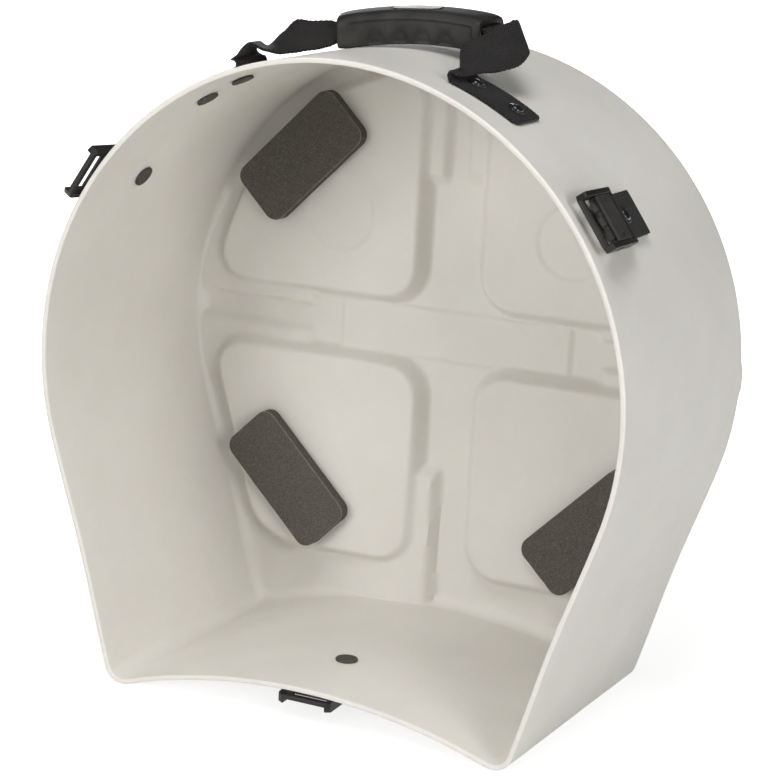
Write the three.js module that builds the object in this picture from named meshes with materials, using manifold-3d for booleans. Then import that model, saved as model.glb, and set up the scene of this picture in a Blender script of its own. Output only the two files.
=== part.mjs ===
// Snare drum case without its lid: a moulded shell, foam pads inside, a webbing handle and three cam buckles.
// Millimetres, +Z up. It stands on its two feet, the rounded lower corners, and its open front faces -Y.
import * as THREE from 'three';
import { mergeVertices } from 'three/addons/utils/BufferGeometryUtils.js';
import Module from 'manifold-3d';

const wasm = await Module();
wasm.setup();

// Shell: a round top, two sides that leave it as tangents, two rounded feet and an arched base.
const rimRadius = 205;
const shellDepth = 214.5;
const rearFlare = 4.2;
const footCentreDistance = 270;
const footRadius = 14;
const baseDrop = 222;
const baseArchRise = 22;
const sideHollow = 1.5;
const sideWall = 3.5;
const rearWall = 6;
const rimEase = 0.8;
const rearRound = 9;
const insideRound = 9;
const leastCorner = 2;

// Rear wall: four panels raised into the case, with a cross of channels between them.
const panelRaise = 13;
const panelWall = 4.5;
const panelSlope = 6;
const panelEase = 1.6;
const panelCorner = 24;
const panelRimGap = 17;
const panelBaseGap = 55;
const channelHalfWidth = 23.6;
const plateLength = 176;
const plateWidth = 36;
const plateRise = 1.5;
const discRadius = 26;
const discDepth = 1;
const discAcross = 88;
const discUp = 79;

// One groove runs out along each channel arm, and stands out behind as a stacking rib.
const grooveWidth = 16;
const grooveFloorWidth = 9;
const grooveDepth = 4.5;
const sideGrooveStart = 107;
const topGrooveStart = 111;
const lowGrooveStart = 98;
const ribFaceWidth = 15;
const ribFootWidth = 24;
const ribRise = 5;
const ribEndInset = 2.5;

// Foam pads on the panels.
const padLength = 98;
const padWidth = 46.5;
const padThickness = 9.7;
const padCorner = 9;
const padEase = 2.2;
const padInset = 22;
const padAngles = { upper_right: 45, upper_left: 135, lower_left: 225, lower_right: 315 };

// Gaps between pieces that touch.
const seatGap = 0.3;
const slotGap = 0.5;
const capGap = 0.6;
const overrun = 1;

// Webbing handle and its anchors, whose places round the shell are angles from the +X side.
const strapWidth = 39;
const strapThickness = 2;
const strapDepth = 46;
const strapMiddleAngle = 92;
const strapTipAngle = 34.8;
const strapFoldAngles = { right: 21.4, left: 20.2 };
const strapTurnAngles = { right: 100, left: 165 };
const rightFoldBend = 4.4;
const leftFoldBend = 3.4;
const strapFoldedWidth = 23;
const strapFoldedThickness = 3.4;
const strapExitAngle = 22;
const innerRivetAngle = 23.5;
const outerRivetAngle = 31.8;

// Moulded grip on the strap, pushed back on the shell.
const gripLength = 104;
const gripWidth = 32;
const gripHeight = 22.5;
const gripArch = 4;
const gripBow = 6.5;
const gripYawAngle = 5;
const gripRollAngle = 6;
const gripTiltAngle = 3.2;
const gripAcross = 6;
const gripBack = 107;
const gripLift = 16.6;
const gripSlotHeight = 13;
const gripSlotDrop = 1;
const gripCollar = 9;
const gripSquareness = 4.4;
const gripEndEase = 0.1;
const gripEndPower = 16;
const sideRecess = 1.2;
const fingerPitch = 17;
const fingerWidth = 11;
const fingerHeight = 9.5;
const fingerDepth = 1.3;
const badgeLength = 33;
const badgeWidth = 11.5;
const badgeDepth = 1.4;

// Rivets with their inner caps.
const rivetFlangeRadius = 5.6;
const rivetDomeRadius = 4;
const rivetFlange = 0.9;
const rivetDome = 1.7;
const rivetDomeAngles = [40, 70];
const shankRadius = 2;
const rivetRunGap = 0.35;
const capRadius = 7.5;
const capThickness = 1.7;
const capRecess = 1.1;

// Cam buckles: each hangs on a doubled loop of webbing that one rivet holds.
const buckleWidth = 38;
const buckleReach = 48;
const buckleBarPlace = 51;
const buckleBarHeight = 4.7;
const buckleBarRadius = 2.4;
const buckleTiltAngles = { right: 6, left: 6, bottom: 2.6 };
const railWidth = 3.6;
const railTop = 4.2;
const railBottom = 3.2;
const frontBarLength = 4.6;
const loopWidth = 30;
const loopThickness = 1.6;
const loopEnd = 88;
const loopLeanAngle = 50;
const latchRivetPlace = 64;
const pinReach = 25;
const pinRadius = 1.5;
const pinRecess = 0.5;
const leverThickness = 2.6;
const leverFront = 5;
const leverRearGap = 5.2;
const leverSideGap = 0.4;
const hubRadius = 3.4;
const toothReach = 5.7;
const toothWidth = 6;
const toothPitch = 9.5;
const toothAngle = 190;
const toothHalfAngle = 13;
const leverPocket = 3.2;
const leverPocketDepth = 1;
const latchAngles = { right: 35.5, left: 147.2, bottom: 270 };

// Colours seen on the case.
const shellFinish = new THREE.MeshStandardMaterial({ color: '#d8d5cc', roughness: 0.55, metalness: 0 });
const foamFinish = new THREE.MeshStandardMaterial({ color: '#57524a', roughness: 1, metalness: 0 });
const webbingFinish = new THREE.MeshStandardMaterial({ color: '#1f1e20', roughness: 0.85, metalness: 0 });
const gripFinish = new THREE.MeshStandardMaterial({ color: '#2b2b2c', roughness: 0.5, metalness: 0 });
const badgeFinish = new THREE.MeshStandardMaterial({ color: '#26251f', roughness: 0.4, metalness: 0 });
const buckleFinish = new THREE.MeshStandardMaterial({ color: '#242426', roughness: 0.45, metalness: 0 });
const rivetFinish = new THREE.MeshStandardMaterial({ color: '#17171a', roughness: 0.25, metalness: 0.2 });
const capFinish = new THREE.MeshStandardMaterial({ color: '#3a3a36', roughness: 0.6, metalness: 0.1 });
const pinFinish = new THREE.MeshStandardMaterial({ color: '#55575a', roughness: 0.35, metalness: 0.9 });

// Facet counts.
const topSteps = 24;
const baseSteps = 5;
const cornerSteps = 4;
const sideSteps = 3;
const roundSteps = 4;
const planCornerSteps = 4;
const planArcSteps = 6;
const holeSides = 12;
const lathSides = 20;
const gripSides = 24;
const gripStations = 14;

const halfTurn = Math.PI;
const quarterTurn = Math.PI / 2;
const radians = THREE.MathUtils.degToRad;
const panelRadius = rimRadius - panelRimGap;
const lowerPanelReach = baseDrop - panelBaseGap;
const padCentreRadius = panelRadius - padInset;
const gripRise = rimRadius + gripLift;
const floorDepth = shellDepth - rearWall;
const faceDepth = floorDepth - panelRaise;
const flareSlope = rearFlare / shellDepth;
const flareAngle = Math.atan(flareSlope);

// Solids and meshes

// A closed body from a geometry: seams are merged and empty triangles left out.
function solid(geometry) {
  const bare = new THREE.BufferGeometry();
  bare.setAttribute('position', geometry.getAttribute('position'));
  bare.setIndex(geometry.getIndex());
  const merged = mergeVertices(bare, 1e-3);
  const old = merged.getIndex().array;
  const kept = [];
  for (let i = 0; i < old.length; i += 3) {
    const [a, b, c] = [old[i], old[i + 1], old[i + 2]];
    if (a !== b && b !== c && c !== a) {
      kept.push(a, b, c);
    }
  }
  const places = new Float32Array(merged.getAttribute('position').array);
  const body = new wasm.Manifold(new wasm.Mesh({
    numProp: 3, vertProperties: places, triVerts: new Uint32Array(kept),
  }));
  return body;
}

function geometryOf(body) {
  const found = body.getMesh();
  const geometry = new THREE.BufferGeometry();
  geometry.setAttribute('position', new THREE.BufferAttribute(new Float32Array(found.vertProperties), 3));
  geometry.setIndex(new THREE.BufferAttribute(new Uint32Array(found.triVerts), 1));
  geometry.computeVertexNormals();
  return geometry;
}

function meshOf(name, body, finish) {
  const mesh = new THREE.Mesh(geometryOf(body), finish);
  mesh.name = name;
  return mesh;
}

// A skin through rings of points, closed at both ends by a fan round each end's middle.
// The rings may run either way: the faces are turned outward at the end.
function loft(rings) {
  const count = rings[0].length;
  const places = [];
  const faces = [];
  rings.forEach((ring) => ring.forEach((p) => places.push(p.x, p.y, p.z)));
  for (let r = 0; r + 1 < rings.length; r += 1) {
    for (let k = 0; k < count; k += 1) {
      const next = (k + 1) % count;
      const [a, b] = [r * count + k, r * count + next];
      const [d, c] = [a + count, b + count];
      faces.push(a, c, b, a, d, c);
    }
  }
  [0, rings.length - 1].forEach((r) => {
    const middle = new THREE.Vector3();
    rings[r].forEach((p) => middle.addScaledVector(p, 1 / count));
    const centre = places.length / 3;
    places.push(middle.x, middle.y, middle.z);
    for (let k = 0; k < count; k += 1) {
      const [a, b] = [r * count + k, r * count + (k + 1) % count];
      faces.push(centre, r === 0 ? a : b, r === 0 ? b : a);
    }
  });
  if (volumeOf(places, faces) < 0) {
    faces.reverse();
  }
  const geometry = new THREE.BufferGeometry();
  geometry.setAttribute('position', new THREE.Float32BufferAttribute(places, 3));
  geometry.setIndex(faces);
  return solid(geometry);
}

function volumeOf(places, faces) {
  const [a, b, c] = [new THREE.Vector3(), new THREE.Vector3(), new THREE.Vector3()];
  let sum = 0;
  for (let i = 0; i < faces.length; i += 3) {
    a.fromArray(places, 3 * faces[i]);
    b.fromArray(places, 3 * faces[i + 1]);
    c.fromArray(places, 3 * faces[i + 2]);
    sum += a.dot(b.cross(c));
  }
  return sum;
}

// An arc of a plan, as [across, up] points from one angle to another.
function arc(centreAcross, centreUp, radius, from, to, steps) {
  return Array.from({ length: steps + 1 }, (unused, i) => {
    const angle = from + (to - from) * i / steps;
    return [centreAcross + radius * Math.cos(angle), centreUp + radius * Math.sin(angle)];
  });
}

// A plan drawn across the case, set at a depth behind the rim.
function ringAt(plan, depth) {
  return plan.map(([across, up]) => new THREE.Vector3(across, depth, up));
}

// A bar whose section is drawn in depth and height, and which runs across by its width.
function barAcross(section, width) {
  const shape = new THREE.Shape(section.map(([depth, up]) => new THREE.Vector2(depth, up)));
  const geometry = new THREE.ExtrudeGeometry(shape, { depth: width, bevelEnabled: false });
  geometry.translate(0, 0, -width / 2);
  const [alongX, alongY, alongZ] = [new THREE.Vector3(1, 0, 0), new THREE.Vector3(0, 1, 0), new THREE.Vector3(0, 0, 1)];
  geometry.applyMatrix4(new THREE.Matrix4().makeBasis(alongY, alongZ, alongX));
  return solid(geometry);
}

function rodAcross(radius, length, depth, up) {
  const geometry = new THREE.CylinderGeometry(radius, radius, length, holeSides);
  geometry.rotateZ(quarterTurn);
  geometry.translate(0, depth, up);
  return solid(geometry);
}

// Shell

// The line round the case at a depth behind the rim, moved inward by an inset.
function outlineAt(depth, inset) {
  const flare = flareSlope * depth;
  const radius = rimRadius + flare;
  const footAcross = footCentreDistance / 2 + flare;
  const footUp = footRadius - baseDrop;
  const archTop = baseArchRise - baseDrop;
  const footReach = Math.hypot(footAcross, footUp);
  const sideAngle = Math.atan2(footUp, footAcross) + Math.acos((radius - footRadius) / footReach);
  const drop = footUp - archTop;
  const archRadius = (footAcross ** 2 + drop ** 2 - footRadius ** 2) / (2 * (footRadius - drop));
  const archCentre = archTop - archRadius;

  const corner = Math.max(footRadius - inset, leastCorner);
  const [outAcross, outUp] = [Math.cos(sideAngle), Math.sin(sideAngle)];
  const toSide = radius - inset - corner;
  const toArch = archRadius + inset + corner;
  const startUp = toSide * outUp - archCentre;
  const along = -archCentre * outAcross;
  const run = along - Math.sqrt(along ** 2 - ((toSide * outAcross) ** 2 + startUp ** 2 - toArch ** 2));
  const cornerAcross = toSide * outAcross + run * outUp;
  const cornerUp = toSide * outUp - run * outAcross;
  const underAngle = Math.atan2(archCentre - cornerUp, -cornerAcross);

  const base = arc(0, archCentre, archRadius + inset, quarterTurn, underAngle + halfTurn, baseSteps);
  const foot = arc(cornerAcross, cornerUp, corner, underAngle, sideAngle, cornerSteps);
  const top = arc(0, 0, radius - inset, sideAngle, quarterTurn, topSteps);
  const side = [];
  for (let i = 1; i < sideSteps + 1; i += 1) {
    const share = i / (sideSteps + 1);
    const hollow = sideHollow * Math.sin(halfTurn * share) ** 2;
    const [low, high] = [foot[cornerSteps], top[0]];
    side.push([
      low[0] + (high[0] - low[0]) * share - hollow * outAcross,
      low[1] + (high[1] - low[1]) * share - hollow * outUp,
    ]);
  }
  const right = [...base.slice(0, -1), ...foot, ...side, ...top];
  const left = right.slice(1, -1).reverse().map(([across, up]) => [-across, up]);
  return [...right, ...left];
}

function outlineRing(depth, inset) {
  return ringAt(outlineAt(depth, inset), depth);
}

// Rings that turn a side into a rear face with a round of its own.
function roundedRings(depth, inset, round) {
  return Array.from({ length: roundSteps + 1 }, (unused, i) => {
    const turn = quarterTurn * i / roundSteps;
    return outlineRing(depth - round + round * Math.sin(turn), inset + round - round * Math.cos(turn));
  });
}

// The plan of one raised panel, grown outward by a spread. Upper panels end on an arc round the shell's middle,
// lower ones on that arc, on a line along the shell's side and on a level bottom edge.
function panelPlan(isUpper, isRight, spread) {
  const corner = panelCorner + spread;
  const inner = channelHalfWidth - spread;
  const outer = panelRadius + spread;
  const reach = lowerPanelReach + spread;
  const nearUp = inner + corner;
  const endAcross = Math.sqrt((outer - corner) ** 2 - nearUp ** 2);
  const endAngle = Math.atan2(nearUp, endAcross);
  const steps = planCornerSteps;
  let plan;
  if (isUpper) {
    plan = [
      ...arc(nearUp, nearUp, corner, halfTurn, halfTurn + quarterTurn, steps),
      ...arc(endAcross, nearUp, corner, -quarterTurn, endAngle, steps),
      ...arc(0, 0, outer, endAngle, quarterTurn - endAngle, planArcSteps).slice(1, -1),
      ...arc(nearUp, endAcross, corner, quarterTurn - endAngle, halfTurn, steps),
    ];
  } else {
    const footAcross = footCentreDistance / 2;
    const footUp = footRadius - baseDrop;
    const tangent = Math.acos((rimRadius - footRadius) / Math.hypot(footAcross, footUp));
    const sideAngle = Math.atan2(footUp, footAcross) + tangent;
    const lowUp = corner - reach;
    const lowAcross = (outer - corner - lowUp * Math.sin(sideAngle)) / Math.cos(sideAngle);
    plan = [
      ...arc(nearUp, lowUp, corner, halfTurn, halfTurn + quarterTurn, steps),
      ...arc(lowAcross, lowUp, corner, -quarterTurn, sideAngle, steps),
      ...arc(0, 0, outer, sideAngle, -endAngle, 2).slice(0, -1),
      ...arc(endAcross, -nearUp, corner, -endAngle, quarterTurn, steps),
      ...arc(nearUp, -nearUp, corner, quarterTurn, halfTurn, steps),
    ];
  }
  return isRight ? plan : plan.map(([across, up]) => [-across, up]);
}

const quadrants = [[true, true], [true, false], [false, true], [false, false]];

function panelBody(isUpper, isRight) {
  const levels = [
    [floorDepth + rearWall / 2, panelSlope],
    [floorDepth, panelSlope],
    [faceDepth + panelEase, panelEase / 2],
    [faceDepth, -panelEase],
  ];
  return loft(levels.map(([depth, spread]) => ringAt(panelPlan(isUpper, isRight, spread), depth)));
}

// The hollow behind a panel, open at the rear, which leaves a wall of even thickness.
function pocketBody(isUpper, isRight) {
  const slope = panelSlope / panelRaise;
  const bottom = faceDepth + panelWall;
  const spreadAt = (depth) => slope * (depth - faceDepth) - panelWall;
  const levels = [
    [shellDepth + overrun, spreadAt(shellDepth) + panelEase],
    [shellDepth - panelEase, spreadAt(shellDepth - panelEase)],
    [bottom + panelEase, spreadAt(bottom + panelEase)],
    [bottom, spreadAt(bottom) - panelEase],
  ];
  return loft(levels.map(([depth, spread]) => ringAt(panelPlan(isUpper, isRight, spread), depth)));
}

// A long round-ended plan that starts at a distance from the middle and runs out past the shell's side.
// The turn sets which arm of the cross it follows.
function armPlan(start, halfWidth, turn) {
  const far = rimRadius + baseArchRise;
  const plan = [
    [far, -halfWidth],
    [far, halfWidth],
    ...arc(start, 0, halfWidth, quarterTurn, halfTurn + quarterTurn, planArcSteps),
  ];
  return plan.map(([across, up]) => [
    across * Math.cos(turn) - up * Math.sin(turn),
    across * Math.sin(turn) + up * Math.cos(turn),
  ]);
}

const arms = [
  [sideGrooveStart, 0],
  [topGrooveStart, quarterTurn],
  [sideGrooveStart, halfTurn],
  [lowGrooveStart, -quarterTurn],
];

function grooveBody([start, turn]) {
  const centre = start + grooveWidth / 2;
  const levels = [
    [floorDepth - overrun, grooveWidth / 2],
    [floorDepth, grooveWidth / 2],
    [floorDepth + grooveDepth, grooveFloorWidth / 2],
  ];
  return loft(levels.map(([depth, half]) => ringAt(armPlan(centre, half, turn), depth)));
}

function ribBody([start, turn]) {
  const centre = start + grooveWidth / 2;
  const levels = [
    [shellDepth - rearWall / 3, ribFootWidth / 2],
    [shellDepth, ribFootWidth / 2],
    [shellDepth + ribRise - rimEase, ribFaceWidth / 2 + rimEase],
    [shellDepth + ribRise, ribFaceWidth / 2],
  ];
  return loft(levels.map(([depth, half]) => ringAt(armPlan(centre, half, turn), depth)));
}

function boxPlan(length, width) {
  const [across, up] = [length / 2, width / 2];
  return [[-across, -up], [across, -up], [across, up], [-across, up]];
}

function joined(bodies) {
  return bodies.reduce((sum, next) => sum.add(next));
}

function shellBody() {
  const outside = loft([
    outlineRing(0, rimEase),
    outlineRing(rimEase, 0),
    ...roundedRings(shellDepth, 0, rearRound),
  ]);
  const inside = loft([
    outlineRing(-overrun, sideWall - rimEase - overrun),
    outlineRing(rimEase, sideWall),
    ...roundedRings(floorDepth, sideWall, insideRound),
  ]);
  const ribLimit = loft([
    outlineRing(floorDepth, ribEndInset),
    outlineRing(shellDepth, ribEndInset),
    outlineRing(shellDepth + ribRise + overrun, ribEndInset + ribRise / 2),
  ]);
  const grooveLimit = loft([
    outlineRing(floorDepth - 2 * overrun, sideWall + rimEase),
    outlineRing(shellDepth, sideWall + rimEase),
  ]);
  const plate = loft([
    ringAt(boxPlan(plateLength, plateWidth), floorDepth + rearWall / 2),
    ringAt(boxPlan(plateLength, plateWidth), floorDepth),
    ringAt(boxPlan(plateLength - 2 * plateRise, plateWidth - 2 * plateRise), floorDepth - plateRise),
  ]);
  const ribs = joined(arms.map(ribBody)).intersect(ribLimit);
  const grooves = joined(arms.map(grooveBody)).intersect(grooveLimit);
  const panels = joined(quadrants.map(([isUpper, isRight]) => panelBody(isUpper, isRight)));
  const pockets = joined(quadrants.map(([isUpper, isRight]) => pocketBody(isUpper, isRight)));
  let body = outside.subtract(inside).add(panels).add(plate).add(ribs);
  body = body.subtract(pockets).subtract(grooves);
  [-discAcross, discAcross].forEach((across) => {
    const disc = new THREE.CylinderGeometry(discRadius, discRadius, 2 * discDepth, 2 * holeSides);
    disc.translate(across, faceDepth, discUp);
    body = body.subtract(solid(disc));
  });
  return body;
}

// Rivets and their holes, along the outward direction at a place on the shell

function lathed(profile) {
  const points = profile.map(([radius, height]) => new THREE.Vector2(radius, height));
  const geometry = new THREE.LatheGeometry(points, lathSides);
  geometry.rotateX(quarterTurn);
  return solid(geometry);
}

// A rivet stands along +Z with its head's underside at a seat height above the shell's outer face.
function rivetBody(seat) {
  const tip = -sideWall - capGap - capRecess + seatGap;
  const top = seat + rivetFlange;
  return lathed([
    [0, tip],
    [shankRadius, tip],
    [shankRadius, seat],
    [rivetFlangeRadius, seat],
    [rivetFlangeRadius, top],
    [rivetDomeRadius, top],
    ...rivetDomeAngles.map((angle) => [
      rivetDomeRadius * Math.cos(radians(angle)),
      top + rivetDome * Math.sin(radians(angle)),
    ]),
    [0, top + rivetDome],
  ]);
}

function capBody() {
  const face = -sideWall - capGap;
  const ease = capThickness / 3;
  const bore = shankRadius + rivetRunGap;
  return lathed([
    [0, face - capThickness],
    [capRadius - ease, face - capThickness],
    [capRadius, face - capThickness + ease],
    [capRadius, face],
    [bore, face],
    [bore, face - capRecess],
    [0, face - capRecess],
  ]);
}

function holeCutter() {
  const length = 2 * (sideWall + strapWidth);
  const geometry = new THREE.CylinderGeometry(1, 1, length, holeSides);
  geometry.scale(shankRadius + rivetRunGap, 1, shankRadius + rivetRunGap);
  geometry.rotateX(quarterTurn);
  return geometry;
}

// The frame of a place on the shell's outside: X runs round the shell, Y back along it and Z outward.
function shellPlace(angle, depth) {
  const turn = quarterTurn - radians(angle);
  const matrix = new THREE.Matrix4().makeRotationY(turn);
  if (angle === latchAngles.bottom) {
    const edge = buckleWidth / 2;
    const archRadius = (footCentreDistance / 2) ** 2 / (2 * baseArchRise);
    const lift = edge ** 2 / (2 * archRadius);
    matrix.setPosition(0, depth, baseArchRise - baseDrop - lift);
    return matrix;
  }
  const radius = rimRadius + flareSlope * depth;
  matrix.setPosition(radius * Math.cos(radians(angle)), depth, radius * Math.sin(radians(angle)));
  return matrix.multiply(new THREE.Matrix4().makeRotationX(flareAngle));
}

// Strap: one ribbon from the right tip over the shell, back in a fold, through the grip and down to the left tip

function alongShell(angle, height) {
  const radius = rimRadius + flareSlope * strapDepth + height;
  return new THREE.Vector3(radius * Math.cos(angle), strapDepth, radius * Math.sin(angle));
}

const gripTurn = new THREE.Euler(radians(gripRollAngle), -radians(gripTiltAngle), radians(gripYawAngle), 'ZYX');
const gripFrame = new THREE.Matrix4().makeRotationFromEuler(gripTurn).setPosition(gripAcross, gripBack, gripRise);

function archAt(across) {
  return -gripArch * (2 * across / gripLength) ** 2;
}

// The strap pulls the grip's ends forward, so its line bows backward in plan and each section turns with it.
function bowTurn(across) {
  return -Math.atan(8 * gripBow * across / gripLength ** 2);
}

function bowed(across, back, up) {
  const turn = bowTurn(across);
  const middle = -gripBow * (2 * across / gripLength) ** 2;
  return new THREE.Vector3(across - back * Math.sin(turn), middle + back * Math.cos(turn), up);
}

// Each leg's middle is given in strap widths from where its fold ends: outward from the middle, back and up.
// Facing is the way its width points, and narrow is how far it has been folded double.
const rightLegShares = [
  { out: -0.07, back: 0.10, up: 0.01, facing: [-0.43, 0.87, 0.25], narrow: 0 },
  { out: 0.03, back: 0.31, up: 0.11, facing: [-0.58, 0.73, 0.37], narrow: 0 },
  { out: 0.24, back: 0.56, up: 0.21, facing: [-0.60, 0.63, 0.50], narrow: 0.1 },
  { out: 0.41, back: 0.80, up: 0.35, facing: [-0.63, 0.48, 0.61], narrow: 0.25 },
  { out: 0.48, back: 1.11, up: 0.47, facing: [-0.58, 0.50, 0.64], narrow: 0.6 },
  { out: 0.33, back: 1.29, up: 0.53, facing: [-0.46, 0.71, 0.53], narrow: 0.95 },
];
const leftLegShares = [
  { out: 0.05, back: 0.03, up: 0.08, facing: [0.22, 0.98, 0.02], narrow: 0 },
  { out: 0.04, back: 0.17, up: 0.22, facing: [0.32, 0.95, -0.05], narrow: 0.1 },
  { out: -0.03, back: 0.44, up: 0.13, facing: [0.45, 0.89, -0.01], narrow: 0.3 },
  { out: -0.16, back: 0.73, up: 0.22, facing: [0.48, 0.81, 0.34], narrow: 0.5 },
  { out: -0.32, back: 0.94, up: 0.34, facing: [0.44, 0.61, 0.65], narrow: 0.7 },
  { out: -0.54, back: 1.07, up: 0.36, facing: [0.47, 0.58, 0.67], narrow: 0.95 },
  { out: -0.75, back: 1.20, up: 0.40, facing: [0.39, 0.68, 0.62], narrow: 1 },
];

function legStations(side, shares) {
  const tip = radians(strapMiddleAngle - side * strapTipAngle);
  const name = side > 0 ? 'right' : 'left';
  const bend = side > 0 ? rightFoldBend : leftFoldBend;
  const fold = radians(strapMiddleAngle - side * strapFoldAngles[name]);
  const seat = seatGap + strapThickness / 2;
  const flat = new THREE.Vector3(0, 1, 0);
  const stations = [];
  const tabSteps = 6;
  for (let i = 0; i < tabSteps; i += 1) {
    const angle = tip + (fold - tip) * i / tabSteps;
    const outward = new THREE.Vector3(Math.cos(angle), 0, Math.sin(angle));
    const facing = flat.clone().addScaledVector(outward, flareSlope);
    stations.push({ place: alongShell(angle, seat), facing, narrow: 0 });
  }
  const outward = new THREE.Vector3(Math.cos(fold), 0, Math.sin(fold));
  const inward = new THREE.Vector3(-Math.sin(fold), 0, Math.cos(fold)).multiplyScalar(side);
  const middle = alongShell(fold, seat + bend);
  const bendSteps = 4;
  for (let i = 0; i < bendSteps + 1; i += 1) {
    const turn = radians(strapTurnAngles[name]) * i / bendSteps;
    const place = middle.clone().addScaledVector(outward, -bend * Math.cos(turn));
    place.addScaledVector(inward, bend * Math.sin(turn));
    stations.push({ place, facing: flat.clone().addScaledVector(outward, flareSlope), narrow: 0 });
  }
  const start = stations[stations.length - 1].place;
  shares.forEach(({ out, back, up, facing, narrow }) => {
    const place = new THREE.Vector3(side * out, back, up).multiplyScalar(strapWidth).add(start);
    stations.push({ place, facing: new THREE.Vector3(side * facing[0], facing[1], facing[2]), narrow });
  });
  return stations;
}

function strapStations() {
  const middle = [];
  const gripSteps = 8;
  for (let i = 0; i < gripSteps + 1; i += 1) {
    const across = gripLength * (1 / 2 - i / gripSteps) * (1 + slotGap / gripWidth);
    const end = Math.max(-2 * across / gripLength, 0) ** 2;
    const ceiling = gripSlotHeight / 2 - seatGap - strapFoldedThickness / 2;
    const rise = archAt(across) - gripSlotDrop + ceiling * (1 - end);
    const place = bowed(across, 0, rise).applyMatrix4(gripFrame);
    const lean = end * radians(strapExitAngle);
    const facing = bowed(across, Math.cos(lean), Math.sin(lean)).sub(bowed(across, 0, 0));
    middle.push({ place, facing: facing.transformDirection(gripFrame), narrow: 1 });
  }
  return [...legStations(1, rightLegShares), ...middle, ...legStations(-1, leftLegShares).reverse()];
}

function strapBody() {
  const stations = strapStations();
  const route = new THREE.CatmullRomCurve3(stations.map(({ place }) => place), false, 'centripetal');
  const last = stations.length - 1;
  const fine = 2;
  const rings = [];
  for (let i = 0; i < last * fine + 1; i += 1) {
    const low = Math.min(Math.floor(i / fine), last - 1);
    const share = i / fine - low;
    const [from, to] = [stations[low], stations[low + 1]];
    const narrow = from.narrow + (to.narrow - from.narrow) * share;
    const width = strapWidth + (strapFoldedWidth - strapWidth) * narrow;
    const thickness = strapThickness + (strapFoldedThickness - strapThickness) * narrow;
    const place = route.getPoint(i / (last * fine));
    const ahead = route.getTangent(i / (last * fine));
    const facing = from.facing.clone().lerp(to.facing, share).normalize();
    const face = new THREE.Vector3().crossVectors(ahead, facing).normalize();
    const corners = [[-1, -1], [1, -1], [1, 1], [-1, 1]];
    rings.push(corners.map(([w, t]) => place.clone()
      .addScaledVector(facing, w * width / 2).addScaledVector(face, t * thickness / 2)));
  }
  return loft(rings);
}

// Grip: a crowned, arched moulding with a slot along it, sunk side panels with finger scallops and a badge seat

function gripPlan(across) {
  const share = Math.abs(2 * across / gripLength);
  const ending = 1 - gripEndEase * share ** gripEndPower;
  const power = 2 / gripSquareness;
  const sign = Math.sign;
  return Array.from({ length: gripSides }, (unused, k) => {
    const angle = 2 * halfTurn * k / gripSides;
    const [c, s] = [Math.cos(angle), Math.sin(angle)];
    const back = sign(c) * Math.abs(c) ** power * gripWidth / 2 * ending;
    const up = sign(s) * Math.abs(s) ** power * gripHeight / 2 * ending;
    return bowed(across, back, up + archAt(across));
  });
}

function gripBody() {
  const rings = Array.from({ length: gripStations + 1 }, (unused, i) => {
    const turn = halfTurn * (i / gripStations);
    return gripPlan(-gripLength / 2 * Math.cos(turn));
  });
  let body = loft(rings);
  const slotHalf = [strapFoldedWidth / 2 + slotGap, gripSlotHeight / 2];
  const slotRings = Array.from({ length: gripStations + 1 }, (unused, i) => {
    const across = (gripLength + 2 * overrun) * (i / gripStations - 1 / 2);
    const rise = archAt(across) - gripSlotDrop;
    return [[-1, -1], [1, -1], [1, 1], [-1, 1]].map(([b, u]) => (
      bowed(across, b * slotHalf[0], rise + u * slotHalf[1])));
  });
  body = body.subtract(loft(slotRings));
  [-1, 1].forEach((side) => {
    body = body.subtract(sidePanel(side));
    for (let i = 0; i < 4; i += 1) {
      body = body.subtract(fingerScallop((i - 3 / 2) * fingerPitch, side));
    }
  });
  return body.subtract(badgeSeat(badgeDepth, slotGap));
}

// The sunk panel on one side of the grip, which stops short of its ends and of its crown.
function sidePanel(side) {
  const [from, to] = [gripCollar - gripLength / 2, gripLength / 2 - gripCollar * 2 / 3];
  const steps = 8;
  const inner = side * (gripWidth / 2 - sideRecess);
  const outer = side * gripWidth;
  return loft(Array.from({ length: steps + 1 }, (unused, i) => {
    const across = from + (to - from) * i / steps;
    const top = archAt(across) + gripHeight / 4;
    const low = archAt(across) - gripHeight;
    return [[inner, low], [outer, low], [outer, top], [inner, top]].map(([back, up]) => (
      bowed(across, back, up)));
  }));
}

// A round-topped hollow for one finger in the lower half of a side.
function fingerScallop(across, side) {
  const radius = fingerWidth / 2;
  const foot = archAt(across) - gripHeight / 2 - overrun;
  const top = foot + overrun + fingerHeight - radius;
  const plan = [[across - radius, foot], [across + radius, foot], ...arc(across, top, radius, 0, halfTurn, 6)];
  const depth = gripWidth / 2 - sideRecess - fingerDepth;
  return loft([depth, gripWidth].map((back) => plan.map(([x, up]) => bowed(x, side * back, up))));
}

// The long round-ended seat on the grip's crown, and the inlay that fills it.
function badgeSeat(depth, gap) {
  const radius = badgeWidth / 2 + gap;
  const end = badgeLength / 2 - badgeWidth / 2;
  const plan = [
    ...arc(end, 0, radius, -quarterTurn, quarterTurn, 6),
    ...arc(-end, 0, radius, quarterTurn, halfTurn + quarterTurn, 6),
  ];
  const foot = gripHeight / 2 - depth;
  return loft([foot, gripHeight].map((up) => plan.map(([x, y]) => bowed(x, y, up))));
}

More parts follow.
